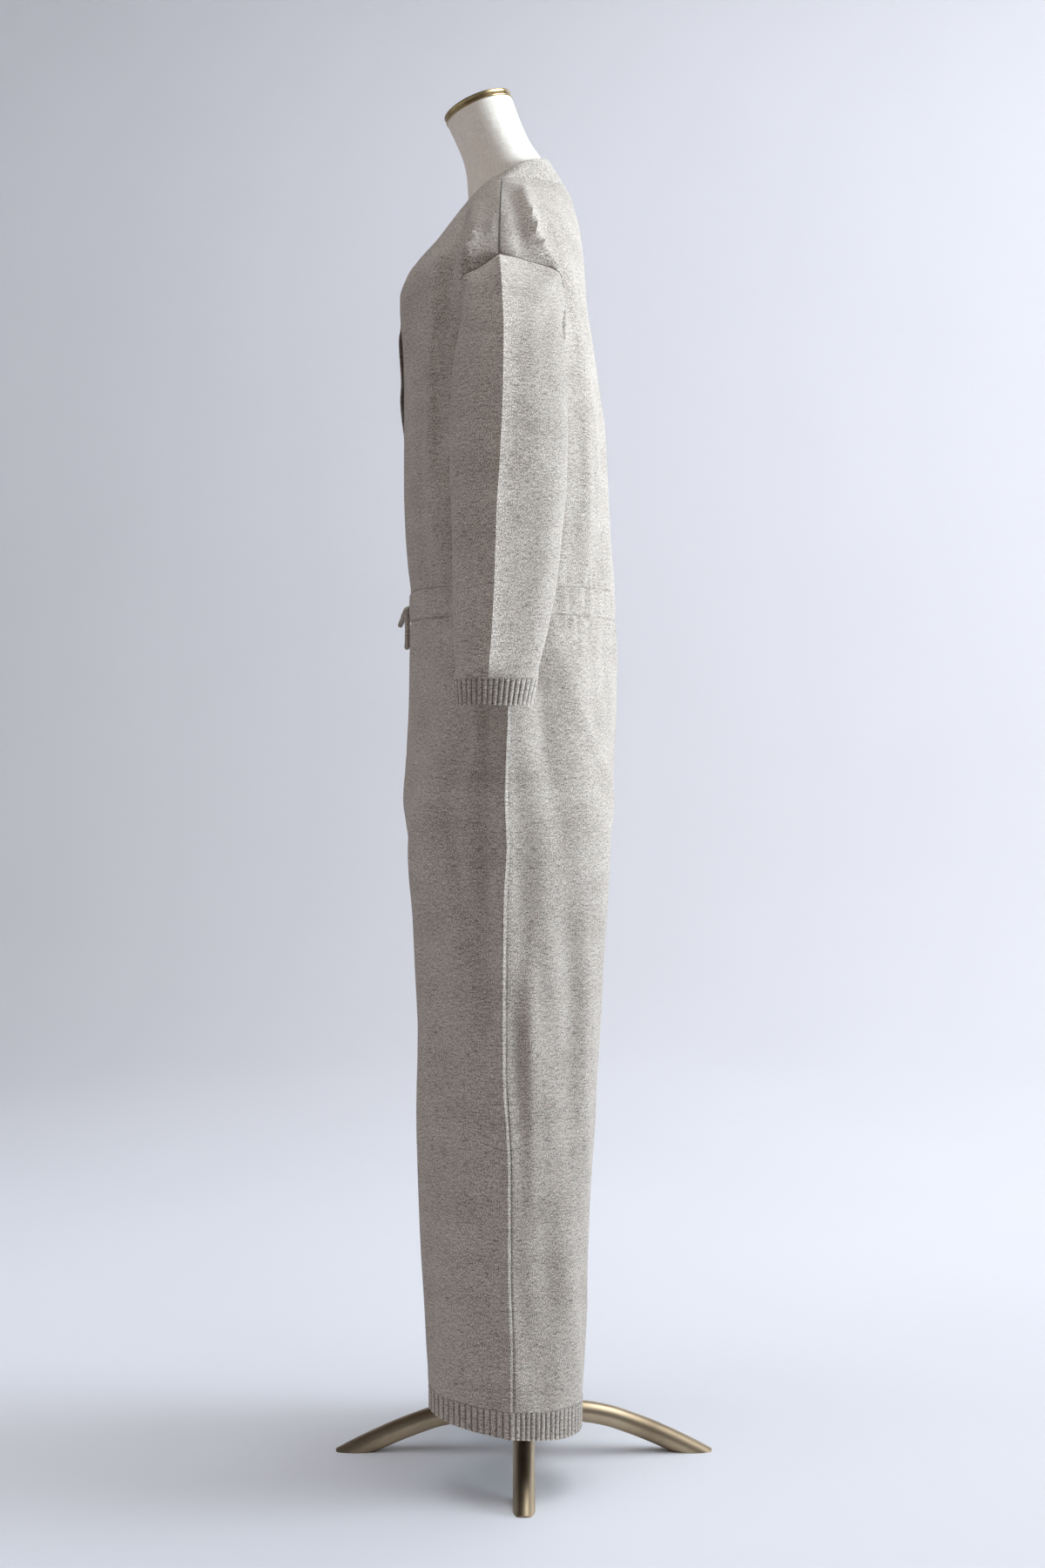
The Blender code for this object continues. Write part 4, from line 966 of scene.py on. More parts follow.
def make_bands(finish):
    for side, word in SIDES:
        seam, seam_normal = band_seam(side)
        edge = band_edge(side)
        seam = seam + unit(edge - seam) * SEAM
        outer = seam[:, None] + (edge - seam)[:, None] * BAND_COLUMNS[None, :, None]
        normal = grid_normals(outer) * -side
        normal[:, 0] = seam_normal
        normal[-1, :, 0] = 0
        normal = unit(normal)
        width = np.linalg.norm(edge - seam, axis=1)[:, None] * BAND_COLUMNS
        thin = BAND_ROUNDING * (1 - smoothstep((width[:, -1:] - width) / 0.0015))
        inner = outer - normal * (WALL - thin)[..., None]
        rise = BAND_CROWN * np.sin(math.pi * BAND_COLUMNS)[None, :] + ditch(width) - thin
        outer = outer + normal * rise[..., None]
        uv = pairs(side * width, along_line((seam + edge) / 2)[:, None])
        knit_piece("neck_band_" + word, finish, outer, inner, uv)


# ---- stitches

THREAD_SIDES = 6
STITCH_PITCH = 0.0034
SHOULDER_THREAD = 0.00042
ARMHOLE_THREAD = 0.00034
SIDE_THREAD = 0.00036
STITCH_SINK = 0.0010  # how deep a stitch's ends go into the cloth
STITCH_DIP = 0.0009  # how deep its middle lies in the ditch
SEAM_HALF = 0.0012  # from an armhole's seam to where its stitches go in
SIDE_SEAM_HALF = 0.0009


def thread_mesh(name, lines, radius):
    """One mesh of short round threads along the lines."""
    points, faces = [], []
    for line in lines:
        start = len(points)
        end = start + (len(line) - 1) * THREAD_SIDES
        rings = swept(np.array(line), np.full(len(line), radius), THREAD_SIDES)
        points += rings.reshape(-1, 3).tolist()
        i, j = quads(len(line), THREAD_SIDES, True)
        faces += (start + i * THREAD_SIDES + j % THREAD_SIDES).tolist()
        faces += [list(range(at, at + THREAD_SIDES)) for at in (start, end)]
    return closed_mesh(name, points, faces, sharp_angle=None)


def sew(name, first, second, normal, finish, radius):
    """Linking stitches that cross the ditch between two lines of cloth."""
    count = max(8, round(along_line(first)[-1] / STITCH_PITCH))
    first, second, normal = (spaced_line(line, count) for line in (first, second, normal))
    lines = []
    for a, b, up in zip(first, second[1:], unit(normal)):
        down, out = up * STITCH_SINK, up * 0.0001
        middle = (a + b) / 2 - up * STITCH_DIP
        lines.append([a - down, a + out, middle, b + out, b - down])
    stands_for(thread_mesh(name, lines, radius), finish, "heather_knit")


# ---- waist casing

CASING_COLUMNS = 76
CASING_ROW = 0.0035
CASING_SWELL = 0.0012  # how far it bulges between its two seams
CASING_BEAD = 0.0004  # the stitched ridge beside each seam
CASING_PUCKER = 0.00034
CASING_DITCH = 0.0003


def casing_pucker(u, seed):
    """Uneven puckers along the drawn-in casing."""
    draw = random.Random(seed)
    waves = []
    for _ in range(4):
        length = draw.uniform(0.010, 0.028)
        waves.append(np.sin(2 * math.pi * u / length + draw.uniform(0, 6)))
    return sum(waves)


def make_casing(finish):
    height = CASING_HIGH - CASING_LOW
    up = places(height, step=CASING_ROW)[:, None]
    z = CASING_LOW + height * up
    across = np.linspace(0, 1, CASING_COLUMNS)[None, :]
    to_seam = np.minimum(up, 1 - up) * height
    bead = CASING_BEAD * np.exp(-(((to_seam - 0.0026) / 0.0014) ** 2))
    swell = CASING_SWELL * np.sin(math.pi * up) ** 0.8
    for back, word in ((False, "front"), (True, "back")):
        halves = []
        for side in (-1, 1):
            base = body_point(across, z, back, side)
            normal = body_normal(np.broadcast_to(across, base.shape[:2]), z, back, side)
            u = arc(body_point, across, z, back, side)
            rise = swell + CASING_PUCKER * casing_pucker(u, 40 + back + side) + bead
            outer = base + normal * rise[..., None]
            drawn = outer + normal * ditch(to_seam, CASING_DITCH)[..., None]
            halves.append((drawn, outer - normal * WALL, pairs(side * u, z)))
        knit_piece("waist_casing_" + word, finish, *joined(halves))


# ---- trousers

SIDE_SEAM = 0.0036  # how far the leg's seam lies behind its crease
LEG_PRESS = 0.0120  # height of the crease along the side of a leg
TOP_FULLNESS = 0.0019  # brings the trousers' top edge out to the casing
TROUSER_ROW = 0.0062
TROUSER_DITCHES = (0.0007, 0.0003, 0.0003, 0.0004)  # centre and inseam, side, hem, casing
SEAM_GROOVE_WIDTH = 0.0009
HEM_LIP = 0.0007  # how far the free edge rolls out
HEM_SINK = 0.0004


def leg_press(to_side, z):
    height = LEG_PRESS * (0.6 + 0.4 * smoothstep((z - 0.22) / 0.35))
    height = height * smoothstep((CASING_LOW - z) / 0.10)
    return press(to_side, height, 0.014) * smoothstep((0.17 - to_side) / 0.10)


def seam_depth(z):
    """The seam's groove, which shows most on the lower leg."""
    return 0.0005 + 0.0008 * smoothstep((0.66 - z) / 0.12)


def trouser_point(f, z, back, side):
    """Outer face of one trouser leg and its half of the hips, from the inner edge (0) to the
    side crease (1). Above the crotch the inner edge is the centre seam, which curls under to
    the inseam between CROTCH_START and CROTCH.
    """
    curl = np.clip((CROTCH_START - z) / (CROTCH_START - CROTCH), 0, 1)
    start = math.pi / 2 * (1 - curl)
    angle = start + (math.pi - start) * f
    leg = INSEAM("left" if side > 0 else "right", np.minimum(z, CROTCH))
    shift = side * CROTCH_SHIFT * smoothstep((0.90 - z) / (0.90 - CROTCH))
    inner = np.where(z < CROTCH, leg, shift)
    half = (TROUSER("half_width", z) - inner) / 2
    middle = inner + half * np.cos(start)
    inside = angle < math.pi / 2
    bend = np.where(inside, 1.0, TROUSER("side_bend", z))
    reach = np.where(inside, half, TROUSER("half_width", z) - middle)
    depth = TROUSER("back" if back else "front", z) - TROUSER("ridge", z)
    x = middle - reach * np.cos(angle)
    ridge = INSEAM_Y + (TROUSER("ridge", z) - INSEAM_Y) * (x - inner) / (2 * half)
    full = power(np.sin(angle), bend)
    narrow = INSEAM("right_depth", z) if side < 0 else 1.0
    y = ridge + (TROUSER("ridge", z) + depth * narrow - ridge) * full
    drop = (CROTCH_START - CROTCH) * (np.sin(math.pi / 2 * curl) - curl)
    nearness = np.clip((math.pi / 2 - angle) / np.maximum(math.pi / 2 - start, 1e-9), 0, 1)
    height = z - drop * nearness**2 - TROUSER("tilt", z) * (y - TROUSER("ridge", z))
    parting = SEAM / 2 if back else -SEAM / 2
    return np.stack(np.broadcast_arrays(side * (x + SEAM / 2), y + parting, height), -1)


def trouser_base(f, z, back, side):
    """Outer points and normals as the solids have them."""
    f, z = np.broadcast_arrays(f, z)
    base = trouser_point(f, z, back, side)
    normal, step = face_normal(trouser_point, f, z, back, side)
    normal[..., 1] *= f < 1 - step
    normal[..., 1] *= (f > step) | (z > CROTCH)
    normal = unit(normal)
    rise = fold_rise(TROUSER_FOLDS, f, z, back) + gather_rise(f, CASING_LOW - z)
    rise = rise * smoothstep((1 - f) / 0.12) * smoothstep(f / 0.10)
    return base + normal * rise[..., None], normal


def trouser_outer(f, z, back, side):
    """Outer points with the creases and the pressed side, normals and knit places."""
    f, z = np.broadcast_arrays(f, z)
    base, normal = trouser_base(f, z, back, side)
    to_side = arc(trouser_point, f, z, back, side, start=1.0)
    whole = arc(trouser_point, 0 * f, z, back, side, start=1.0)
    shift = TROUSER_SHIFT if side < 0 else 0.0
    rise = crease_rise(TROUSER_CREASES, f + shift, z, back, whole)
    rise += fine_gathers(to_side, CASING_LOW - z, 21 + back + 5 * side)
    rise += ripple(to_side, z, 31 + 2 * back + side, TROUSER_RIPPLE)
    rise *= smoothstep((1 - f) / 0.03) * smoothstep(f / 0.06)
    near_top = 1 - smoothstep((CASING_LOW - z) / 0.06)
    rise += TOP_FULLNESS * power(np.sin(math.pi * f), 1.2) * near_top
    rise += leg_press(to_side, z)
    if back:
        rise -= seam_depth(z) * np.exp(-(((to_side - SIDE_SEAM) / SEAM_GROOVE_WIDTH) ** 2))
    return base + normal * rise[..., None], normal, pairs(side * (0.4 - to_side), z)


def make_trousers(finish):
    span = CASING_LOW - HEM_TOP - 2 * SEAM
    z = (HEM_TOP + SEAM + span * places(span, step=TROUSER_ROW))[:, None]
    f = places(TROUSER_WIDTH)[None, :]
    for side, word in SIDES:
        for back, face in ((False, "front"), (True, "back")):
            outer, normal, uv = trouser_outer(f, z, back, side)
            drawn = sewn(outer, normal, TROUSER_DITCHES)
            knit_piece(f"trouser_{face}_{word}", finish, drawn, outer - normal * WALL, uv)


def rib_rise(phase, lip):
    """Round ribs, one for each whole phase, that flatten towards the sewn top of their band.
    The band's free edge rolls outwards by lip.
    """
    away = 2 * np.abs(phase - np.round(phase))
    ribs = RIB_DEPTH * (0.45 - (1 - away) ** 1.9)
    at_top = 0.25 + 0.75 * smoothstep((1 - RIB_ROWS) / 0.10)
    at_lip = 0.4 + 0.6 * smoothstep(RIB_ROWS / 0.06)
    return ribs * at_top * at_lip + lip * (1 - smoothstep(RIB_ROWS / 0.09))


def hem_half(back, side):
    """Outer and inner points of the front or back half of a hem, and its knit places."""
    columns = HEM_RIBS // 2 * RIB_STEPS + 1
    z = HEM_LOW + (HEM_TOP - HEM_LOW) * RIB_ROWS
    f = evenly(lambda share: trouser_base(share, HEM_TOP, back, side)[0] * RIB_SPREAD, columns)
    base, normal = trouser_base(f, z, back, side)
    pressed = leg_press(arc(trouser_point, f, z, back, side, start=1.0), z)
    rise = pressed + rib_rise(np.arange(columns) / RIB_STEPS, HEM_LIP)
    rise = rise - HEM_SINK * smoothstep((1 - RIB_ROWS) / 0.10)
    inner = base + normal * (pressed - WALL)[..., None]
    return base + normal * rise[..., None], inner, pairs(arc(trouser_point, f, z, back, side), z)


def make_hems(finish):
    for side, word in SIDES:
        front, rear = hem_half(False, side), hem_half(True, side)
        grids = zip(front[:2], rear[:2])
        outer, inner = (np.concatenate([a[:, :-1], b[:, :0:-1]], axis=1) for a, b in grids)
        front_uv, rear_uv = front[2], rear[2][:, ::-1]
        round_u = front_uv[:, -1:, 0] + rear_uv[:, :1, 0] - rear_uv[..., 0]
        uv = np.concatenate([front_uv[:, :-1], pairs(round_u, rear_uv[..., 1])], axis=1)
        knit_piece("hem_rib_" + word, finish, outer, inner, uv, loop=True, ribs=HEM_RIBS)


# ---- sleeves

SLEEVE_COLUMNS = 116
CREASE_TURNS = (0.012, 0.028, 6.255, 6.271)  # extra columns on both sides of the crease
SLEEVE_PRESS = 0.0110  # height of the crease along a sleeve
CUFF_LIP = 0.0009
CUFF_SINK = 0.0003


def oval(turn, outer_x, outer_z, inner_x, inner_z, front, back, ridge):
    """A sleeve section: turn 0 is the outer crease and a quarter turn is the front."""
    lean = np.cos(turn)
    bend = np.where(lean > 0, 0.90, 1.0)
    depth = np.where(np.sin(turn) > 0, front - ridge, back - ridge)
    x = (outer_x + inner_x) / 2 + (outer_x - inner_x) / 2 * lean
    z = (outer_z + inner_z) / 2 + (outer_z - inner_z) / 2 * lean
    y = ridge + depth * np.abs(np.sin(turn)) ** bend
    return np.stack(np.broadcast_arrays(x, y, z), -1)


def armhole_ring(turn):
    """The bodice's edge as a ring from the shoulder point round the front, and its normals."""
    front = turn <= math.pi
    rings = []
    for back in (False, True):
        along = np.clip(np.abs(turn / math.pi - 1), 0, 1)
        across, z = armhole_edge(along, back)
        outer, normal, _ = bodice_outer(across, z, back, 1)
        rings.append((outer, normal))
    (front_points, front_normal), (back_points, back_normal) = rings
    choose = front[:, None]
    return np.where(choose, front_points, back_points), np.where(choose, front_normal, back_normal)


def into_cloth(tangent, normal, reach):
    """Direction along the cloth, across a ring's tangent, on the side that reach points to."""
    into = unit(np.cross(tangent, normal))
    return into * np.sign(np.sum(into * reach, axis=-1, keepdims=True))


def seam_offset(ring, normal, onward):
    """Moves a ring clear of the panel that it is sewn to, towards where the cloth goes."""
    tangent = np.roll(ring, -1, axis=0) - np.roll(ring, 1, axis=0)
    into = into_cloth(tangent, normal, ring.mean(axis=0) - ring)
    turn = np.arctan2(np.sum(onward * normal, -1), np.sum(onward * into, -1))[:, None]
    turn = np.clip(np.abs(turn), 0, math.pi)
    return 1.5 * SEAM * (np.cos(turn / 2) * into + np.sin(turn / 2) * normal)


def sleeve_creases(along, turn, girth):
    total = np.zeros(np.broadcast(along, turn).shape)
    for low, low_turn, high, high_turn, half_width, rise in SLEEVE_CREASES:
        share = (along - low) / (high - low)
        line = (low_turn + (high_turn - low_turn) * share) * math.pi / 2
        away = np.abs((turn - line + math.pi) % (2 * math.pi) - math.pi)
        distance = away / (2 * math.pi) * girth / half_width
        taper = np.sin(math.pi * np.clip(share, 0, 1)) ** 0.7
        total += rise * taper * fold_profile(distance, rise)
    return total


def sleeve_turns():
    """Places round a sleeve, closer together at its crease, and which of them is the crease."""
    turn = np.arange(SLEEVE_COLUMNS) * 2 * math.pi / SLEEVE_COLUMNS
    turn = np.unique(np.concatenate([turn, CREASE_TURNS]))
    crease_at = int(np.sum(turn >= math.pi))
    return np.roll(turn, crease_at), crease_at


def make_sleeves(finish):
    turn, crease_at = sleeve_turns()
    along = places(SLEEVE_LENGTH)
    rings = oval(turn, *(SLEEVE(name, along)[:, None] for name in SLEEVE.names[1:]))
    armhole, armhole_normal = armhole_ring(turn)
    rings = rings + (armhole - rings[0]) * np.clip(1 - along / 0.30, 0, 1)[:, None, None] ** 2
    normal = grid_normals(rings, loop=True)
    closed = closed_rings(rings)
    u = along_rows(closed)
    girth = u[:, -1:]
    u = u - u[:, crease_at : crease_at + 1]
    crease = rings[:, crease_at]
    v = np.interp(closed[..., 2], crease[::-1, 2], along_line(crease[::-1]))
    rise = sleeve_creases(along[:, None], turn, girth) + ripple(u[:, :-1], v[:, :-1], 51)
    rise *= smoothstep(along / 0.03)[:, None]
    low, high = along_line(crease), along_line(crease[::-1])[::-1]
    fade = smoothstep(low / 0.020) * smoothstep((high + 0.004) / 0.020)
    rise += press(np.abs(u[:, :-1]), SLEEVE_PRESS, 0.013) * fade[:, None]
    outer = rings + normal * rise[..., None]
    inner = outer - normal * WALL
    drawn = ditch(low) + ditch(high, BAND_DITCH)
    outer = outer + normal * drawn[:, None, None]
    offset = seam_offset(rings[0], armhole_normal, unit(rings[2] - rings[0]))
    outer[0] += offset
    inner[0] += offset
    pair_of_tubes("sleeve_", finish, outer, inner, pairs(u, v))


def cuff_section(z):
    outer_x, inner_x, front, back, ridge = (CUFF(name, z) for name in CUFF.names[1:])
    return outer_x, z, inner_x, z, front, back, ridge


def make_cuffs(finish):
    columns = CUFF_RIBS * RIB_STEPS
    top = cuff_section(CUFF_TOP)
    share = evenly(lambda part: oval(part * 2 * math.pi, *top) * RIB_SPREAD, columns + 1)
    turn = share[:-1] * 2 * math.pi
    base = oval(turn, *cuff_section(CUFF_LOW + (CUFF_TOP - SEAM - CUFF_LOW) * RIB_ROWS))
    normal = -grid_normals(base, loop=True)
    rise = rib_rise(np.arange(columns) / RIB_STEPS, CUFF_LIP) - CUFF_SINK
    outer = base + normal * rise[..., None]
    inner = base - normal * WALL
    wave = 0.0005 * np.sin(3 * turn + 1.0) + 0.0003 * np.sin(7 * turn)
    outer[:2, :, 2] += wave
    inner[:2, :, 2] += wave
    closed = closed_rings(base)
    uv = pairs(along_rows(closed), closed[..., 2])
    pair_of_tubes("cuff_rib_", finish, outer, inner, uv, ribs=CUFF_RIBS)


# ---- drawstring ends


def smooth_route(route, count):
    """Points along a smooth curve through the places."""
    route = np.array(route)
    length = along_line(route)
    wanted = np.linspace(0, length[-1], count)
    return np.stack([monotone(length, route[:, k], wanted) for k in range(3)], -1)


def frames_along(line):
    """Two directions across a line, turning as little as they can."""
    tangent = unit(np.gradient(line, axis=0))
    first = np.zeros_like(line)
    first[0] = unit(np.cross(tangent[0], np.array([0.2, 0.1, 0.97])))
    for k in range(1, len(line)):
        first[k] = unit(first[k - 1] - tangent[k] * (first[k - 1] @ tangent[k]))
    return first, np.cross(tangent, first)


def swept(line, radii, sides):
    """Rings of points round a line."""
    turn = np.arange(sides) * 2 * math.pi / sides
    first, second = frames_along(line)
    return line[:, None] + np.asarray(radii)[:, None, None] * (
        np.cos(turn)[None, :, None] * first[:, None] + np.sin(turn)[None, :, None] * second[:, None]
    )


def make_cords(finish):
    sides = 30
    ends = (
        # word, places, length, length of the rounded tip
        ("left", CORD_LEFT, 0.046, 0.0026),
        ("right", CORD_RIGHT, 0.037, 0.0009),
    )
    for word, stops, long, tip in ends:
        line = smooth_route(stops, CORD_POINTS)
        length = along_line(line)
        to_end = length[-1] - length
        radii = CORD_RADIUS * np.sqrt(np.clip(1 - np.clip(1 - to_end / tip, 0, 1) ** 2, 0.12, 1))
        radii = radii * (1 + 0.03 * np.sin(length / 0.0021))
        rings = swept(line, radii, sides)
        turn = np.arange(sides + 1) / sides * 2 * math.pi * CORD_RADIUS
        cord = loft("cord_" + word, rings, pairs(turn, length[:, None]))
        stands_for(cord, finish, "heather_knit", "drawstring_" + word)


# ---- stitches of the seams


def sew_shoulders(thread):
    z = np.linspace(NECK_SIDE_SEAM - 0.002, SHOULDER_POINT + 0.002, 200)
    across = np.full_like(z, 0.995)
    for side, word in SIDES:
        lines = []
        for back in (False, True):
            point, normal = body_point(across, z, back, side), body_normal(across, z, back, side)
            lines.append(point - normal * 0.0003)
        up = unit(np.stack([side * np.ones_like(z), 0 * z, 1.0 + 0 * z], -1))
        sew("shoulder_stitches_" + word, *lines, up, thread, SHOULDER_THREAD)


def sew_armholes(thread):
    turn = np.linspace(-0.23, 0.23, 200) * math.pi
    ring, normal = armhole_ring(turn % (2 * math.pi))
    to_middle = ring.mean(axis=0) - [0, 0, 0.2] - ring
    into = into_cloth(np.gradient(ring, axis=0), normal, to_middle)
    lines = [ring + into * reach - normal * 0.0004 for reach in (-SEAM_HALF, SEAM_HALF)]
    lines.append(normal)
    sew("armhole_stitches_left", *lines, thread, ARMHOLE_THREAD)
    sew("armhole_stitches_right", *map(mirrored, lines), thread, ARMHOLE_THREAD)


def sew_sides(thread):
    z = np.linspace(HEM_TOP + 0.004, CASING_LOW - 0.004, 420)
    for side, word in SIDES:
        lines = []
        for away in (SIDE_SEAM - SIDE_SEAM_HALF, SIDE_SEAM + SIDE_SEAM_HALF):
            point, normal, _ = trouser_outer(1 - away / 0.27, z, True, side)
            lines.append(point)
        sew("side_stitches_" + word, *lines, normal, thread, SIDE_THREAD)


# ---- dress form and stand

QUARTER = np.linspace(0, 1, 31)  # places round a quarter of the form, from the centre line


def full_ring(front, back):
    """Joins the left front and back quarters and mirrors them to a closed ring."""
    left = np.concatenate([front, back[-2::-1]])
    return np.concatenate([left, mirrored(left[-2:0:-1])])


def form_ring_under_cloth(front_z, side_z, back_z):
    """A ring of the form a little inside the cloth, cut short at the armholes."""
    clear = np.interp(QUARTER, FORM_CLEAR_AT, FORM_CLEAR)[:, None]
    rings = []
    for back, centre_z in ((False, front_z), (True, back_z)):
        z = side_z + (centre_z - side_z) * np.cos(QUARTER * math.pi / 2) ** 2
        point = body_point(QUARTER, z, back, 1) - body_normal(QUARTER, z, back, 1) * clear
        point[:, 1] = np.where(QUARTER == 1, BODY("ridge", side_z), point[:, 1])
        point[:, 0] = np.minimum(point[:, 0], FORM_ARMHOLE)
        rings.append(point)
    return full_ring(*rings)


def form_ring(half_width, front, back, ridge, z):
    angle = QUARTER * math.pi / 2
    x = half_width * np.sin(angle)
    quarters = [
        np.stack([x, ridge + (depth - ridge) * np.cos(angle) ** 0.92, z + 0 * x], -1)
        for depth in (front, back)
    ]
    return full_ring(*quarters)


def neck_ring(front_y, front_z, back_y, back_z, half_width):
    """A tilted oval through its front and back points."""
    angle = QUARTER * math.pi / 2
    middle = np.array([0, (front_y + back_y) / 2, (front_z + back_z) / 2])
    quarters = []
    for y, z in ((front_y, front_z), (back_y, back_z)):
        reach = np.array([0, y, z]) - middle
        across = np.sin(angle)[:, None] * np.array([half_width, 0, 0])
        quarters.append(middle + np.cos(angle)[:, None] * reach + across)
    return full_ring(*quarters)


def between_rings(rings, finer):
    """More rings between these, on smooth curves through their points."""
    steps = np.linalg.norm(np.diff(rings, axis=0), axis=-1).mean(axis=1)
    at = np.concatenate([[0], np.cumsum(steps)])
    wanted = np.unique(np.concatenate([at, np.arange(0, at[-1], finer)]))
    flat = rings.reshape(len(rings), -1)
    smooth = [monotone(at, flat[:, k], wanted) for k in range(flat.shape[1])]
    return np.stack(smooth, -1).reshape(len(wanted), -1, 3), wanted


def make_form(finish):
    rings = [form_ring(*sizes, z) for z, *sizes in FORM.rows]
    rings += [form_ring_under_cloth(*heights) for heights in FORM_UNDER_CLOTH]
    rings += [neck_ring(*sizes) for sizes in FORM_NECK]
    rings, along = between_rings(np.array(rings), 0.006)
    uv = pairs(along_rows(closed_rings(rings)), along[:, None])
    stands_for(loft("linen_form", rings, uv), finish, "linen", "form_body")


def make_cap(finish):
    front_y, front_z, back_y, back_z, half_width = FORM_NECK[-1]
    along = unit(np.array([0, back_y - front_y, back_z - front_z]))
    up = np.cross(np.array([1.0, 0, 0]), along)
    middle = np.array([0, (front_y + back_y) / 2, (front_z + back_z) / 2])
    half_depth = math.hypot(back_y - front_y, back_z - front_z) / 2
    profile = (
        # height, growth of the radius, share of the radius
        (SEAM, 0.0000, 1.0),
        (SEAM + 0.0003, 0.0007, 1.0),
        (SEAM + 0.0009, 0.0010, 1.0),
        (SEAM + 0.0016, 0.0010, 1.0),
        (SEAM + 0.0020, 0.0004, 1.0),
        (SEAM + 0.0024, 0.0003, 1.0),
        (CAP_THICK - 0.0026, 0.0003, 1.0),
        (CAP_THICK - 0.0020, 0.0008, 1.0),
        (CAP_THICK - 0.0013, 0.0010, 1.0),
        (CAP_THICK - 0.0006, 0.0008, 1.0),
        (CAP_THICK - 0.0002, 0.0002, 1.0),
        (CAP_THICK, -0.0010, 1.0),
        (CAP_THICK + 0.0003, -0.0030, 1.0),
        (CAP_THICK + 0.0012, 0.0, 0.80),
        (CAP_THICK + 0.0022, 0.0, 0.52),
        (CAP_THICK + 0.0026, 0.0, 0.20),
    )
    turn = np.arange(120) * 2 * math.pi / 120
    rings = []
    for height, growth, share in profile:
        x = np.cos(turn) * (half_width + growth) * share
        y = np.sin(turn) * (half_depth + growth) * share
        rings.append(middle + up * height + x[:, None] * np.array([1, 0, 0]) + y[:, None] * along)
    stands_for(loft("brass_cap", np.array(rings)), finish, "brass", "neck_cap")


def make_pole_and_hub(finish):
    low, high, bevel = HUB_HIGH + SEAM, FORM_FLOOR - SEAM, 0.0006
    profile = [(POLE_RADIUS - bevel, low), (POLE_RADIUS, low + bevel)]
    profile += [(POLE_RADIUS, high - bevel), (POLE_RADIUS - bevel, high)]
    stands_for(loft("stand_pole", turned(profile, 48)), finish, "antique_brass", "pole")
    profile = (
        (POLE_RADIUS + 0.004, HUB_HIGH),
        (HUB_RADIUS - 0.0100, HUB_HIGH),
        (HUB_RADIUS - 0.0055, HUB_HIGH - 0.0007),
        (HUB_RADIUS - 0.0026, HUB_HIGH - 0.0022),
        (HUB_RADIUS - 0.0007, HUB_HIGH - 0.0043),
        (HUB_RADIUS, HUB_HIGH - 0.0065),
        (HUB_RADIUS, HUB_LOW + 0.0050),
        (HUB_RADIUS - 0.0010, HUB_LOW + 0.0020),
        (HUB_RADIUS - 0.0040, HUB_LOW),
    )
    stands_for(loft("stand_hub", turned(profile, 72)), finish, "antique_brass", "hub")


def make_stand_legs(finish):
    """Four alike legs, each a bent tube cut flat at the floor."""
    reach = np.linspace(LEG_ROUTE.rows[0, 0], LEG_ROUTE.rows[-1, 0], 60)
    line = np.stack([reach, 0 * reach, LEG_ROUTE("height", reach)], -1)
    guide = loft("leg_guide", swept(line, np.full(len(line), LEG_RADIUS), 36))
    work = bmesh.new()
    work.from_mesh(guide.data)
    everything = work.verts[:] + work.edges[:] + work.faces[:]
    cut = bmesh.ops.bisect_plane(
        work, geom=everything, plane_co=(0, 0, 0), plane_no=(0, 0, -1), clear_outer=True
    )
    rim = [item for item in cut["geom_cut"] if isinstance(item, bmesh.types.BMEdge)]
    bmesh.ops.contextual_create(work, geom=rim)
    bmesh.ops.recalc_face_normals(work, faces=work.faces)
    mesh = bpy.data.meshes.new("leg")
    work.to_mesh(mesh)
    work.free()
    bpy.data.objects.remove(guide)
    for number, word in enumerate(("left", "back", "right", "front")):
        copy = mesh.copy()
        copy.transform(Matrix.Rotation(number * math.pi / 2, 4, "Z"))
        stands_for(placed("tube_leg_" + word, copy), finish, "antique_brass", "stand_leg_" + word)


# ---- materials

KNIT_DARK = (0.175, 0.143, 0.115)
KNIT_MID_DARK = (0.320, 0.272, 0.225)
KNIT_MID = (0.500, 0.440, 0.372)
KNIT_LIGHT = (0.650, 0.588, 0.510)
KNIT_PALE = (0.800, 0.740, 0.660)
KNIT_ROSE = (0.590, 0.445, 0.370)
KNIT_FLECK = (0.130, 0.115, 0.105)
# painted shade: the colour given to the hollows between stitches
KNIT_GROOVE_SHADE = (0.200, 0.170, 0.140)
# painted shade: the colour given to the grooves between ribs
RIB_GROOVE_SHADE = (0.060, 0.048, 0.040)


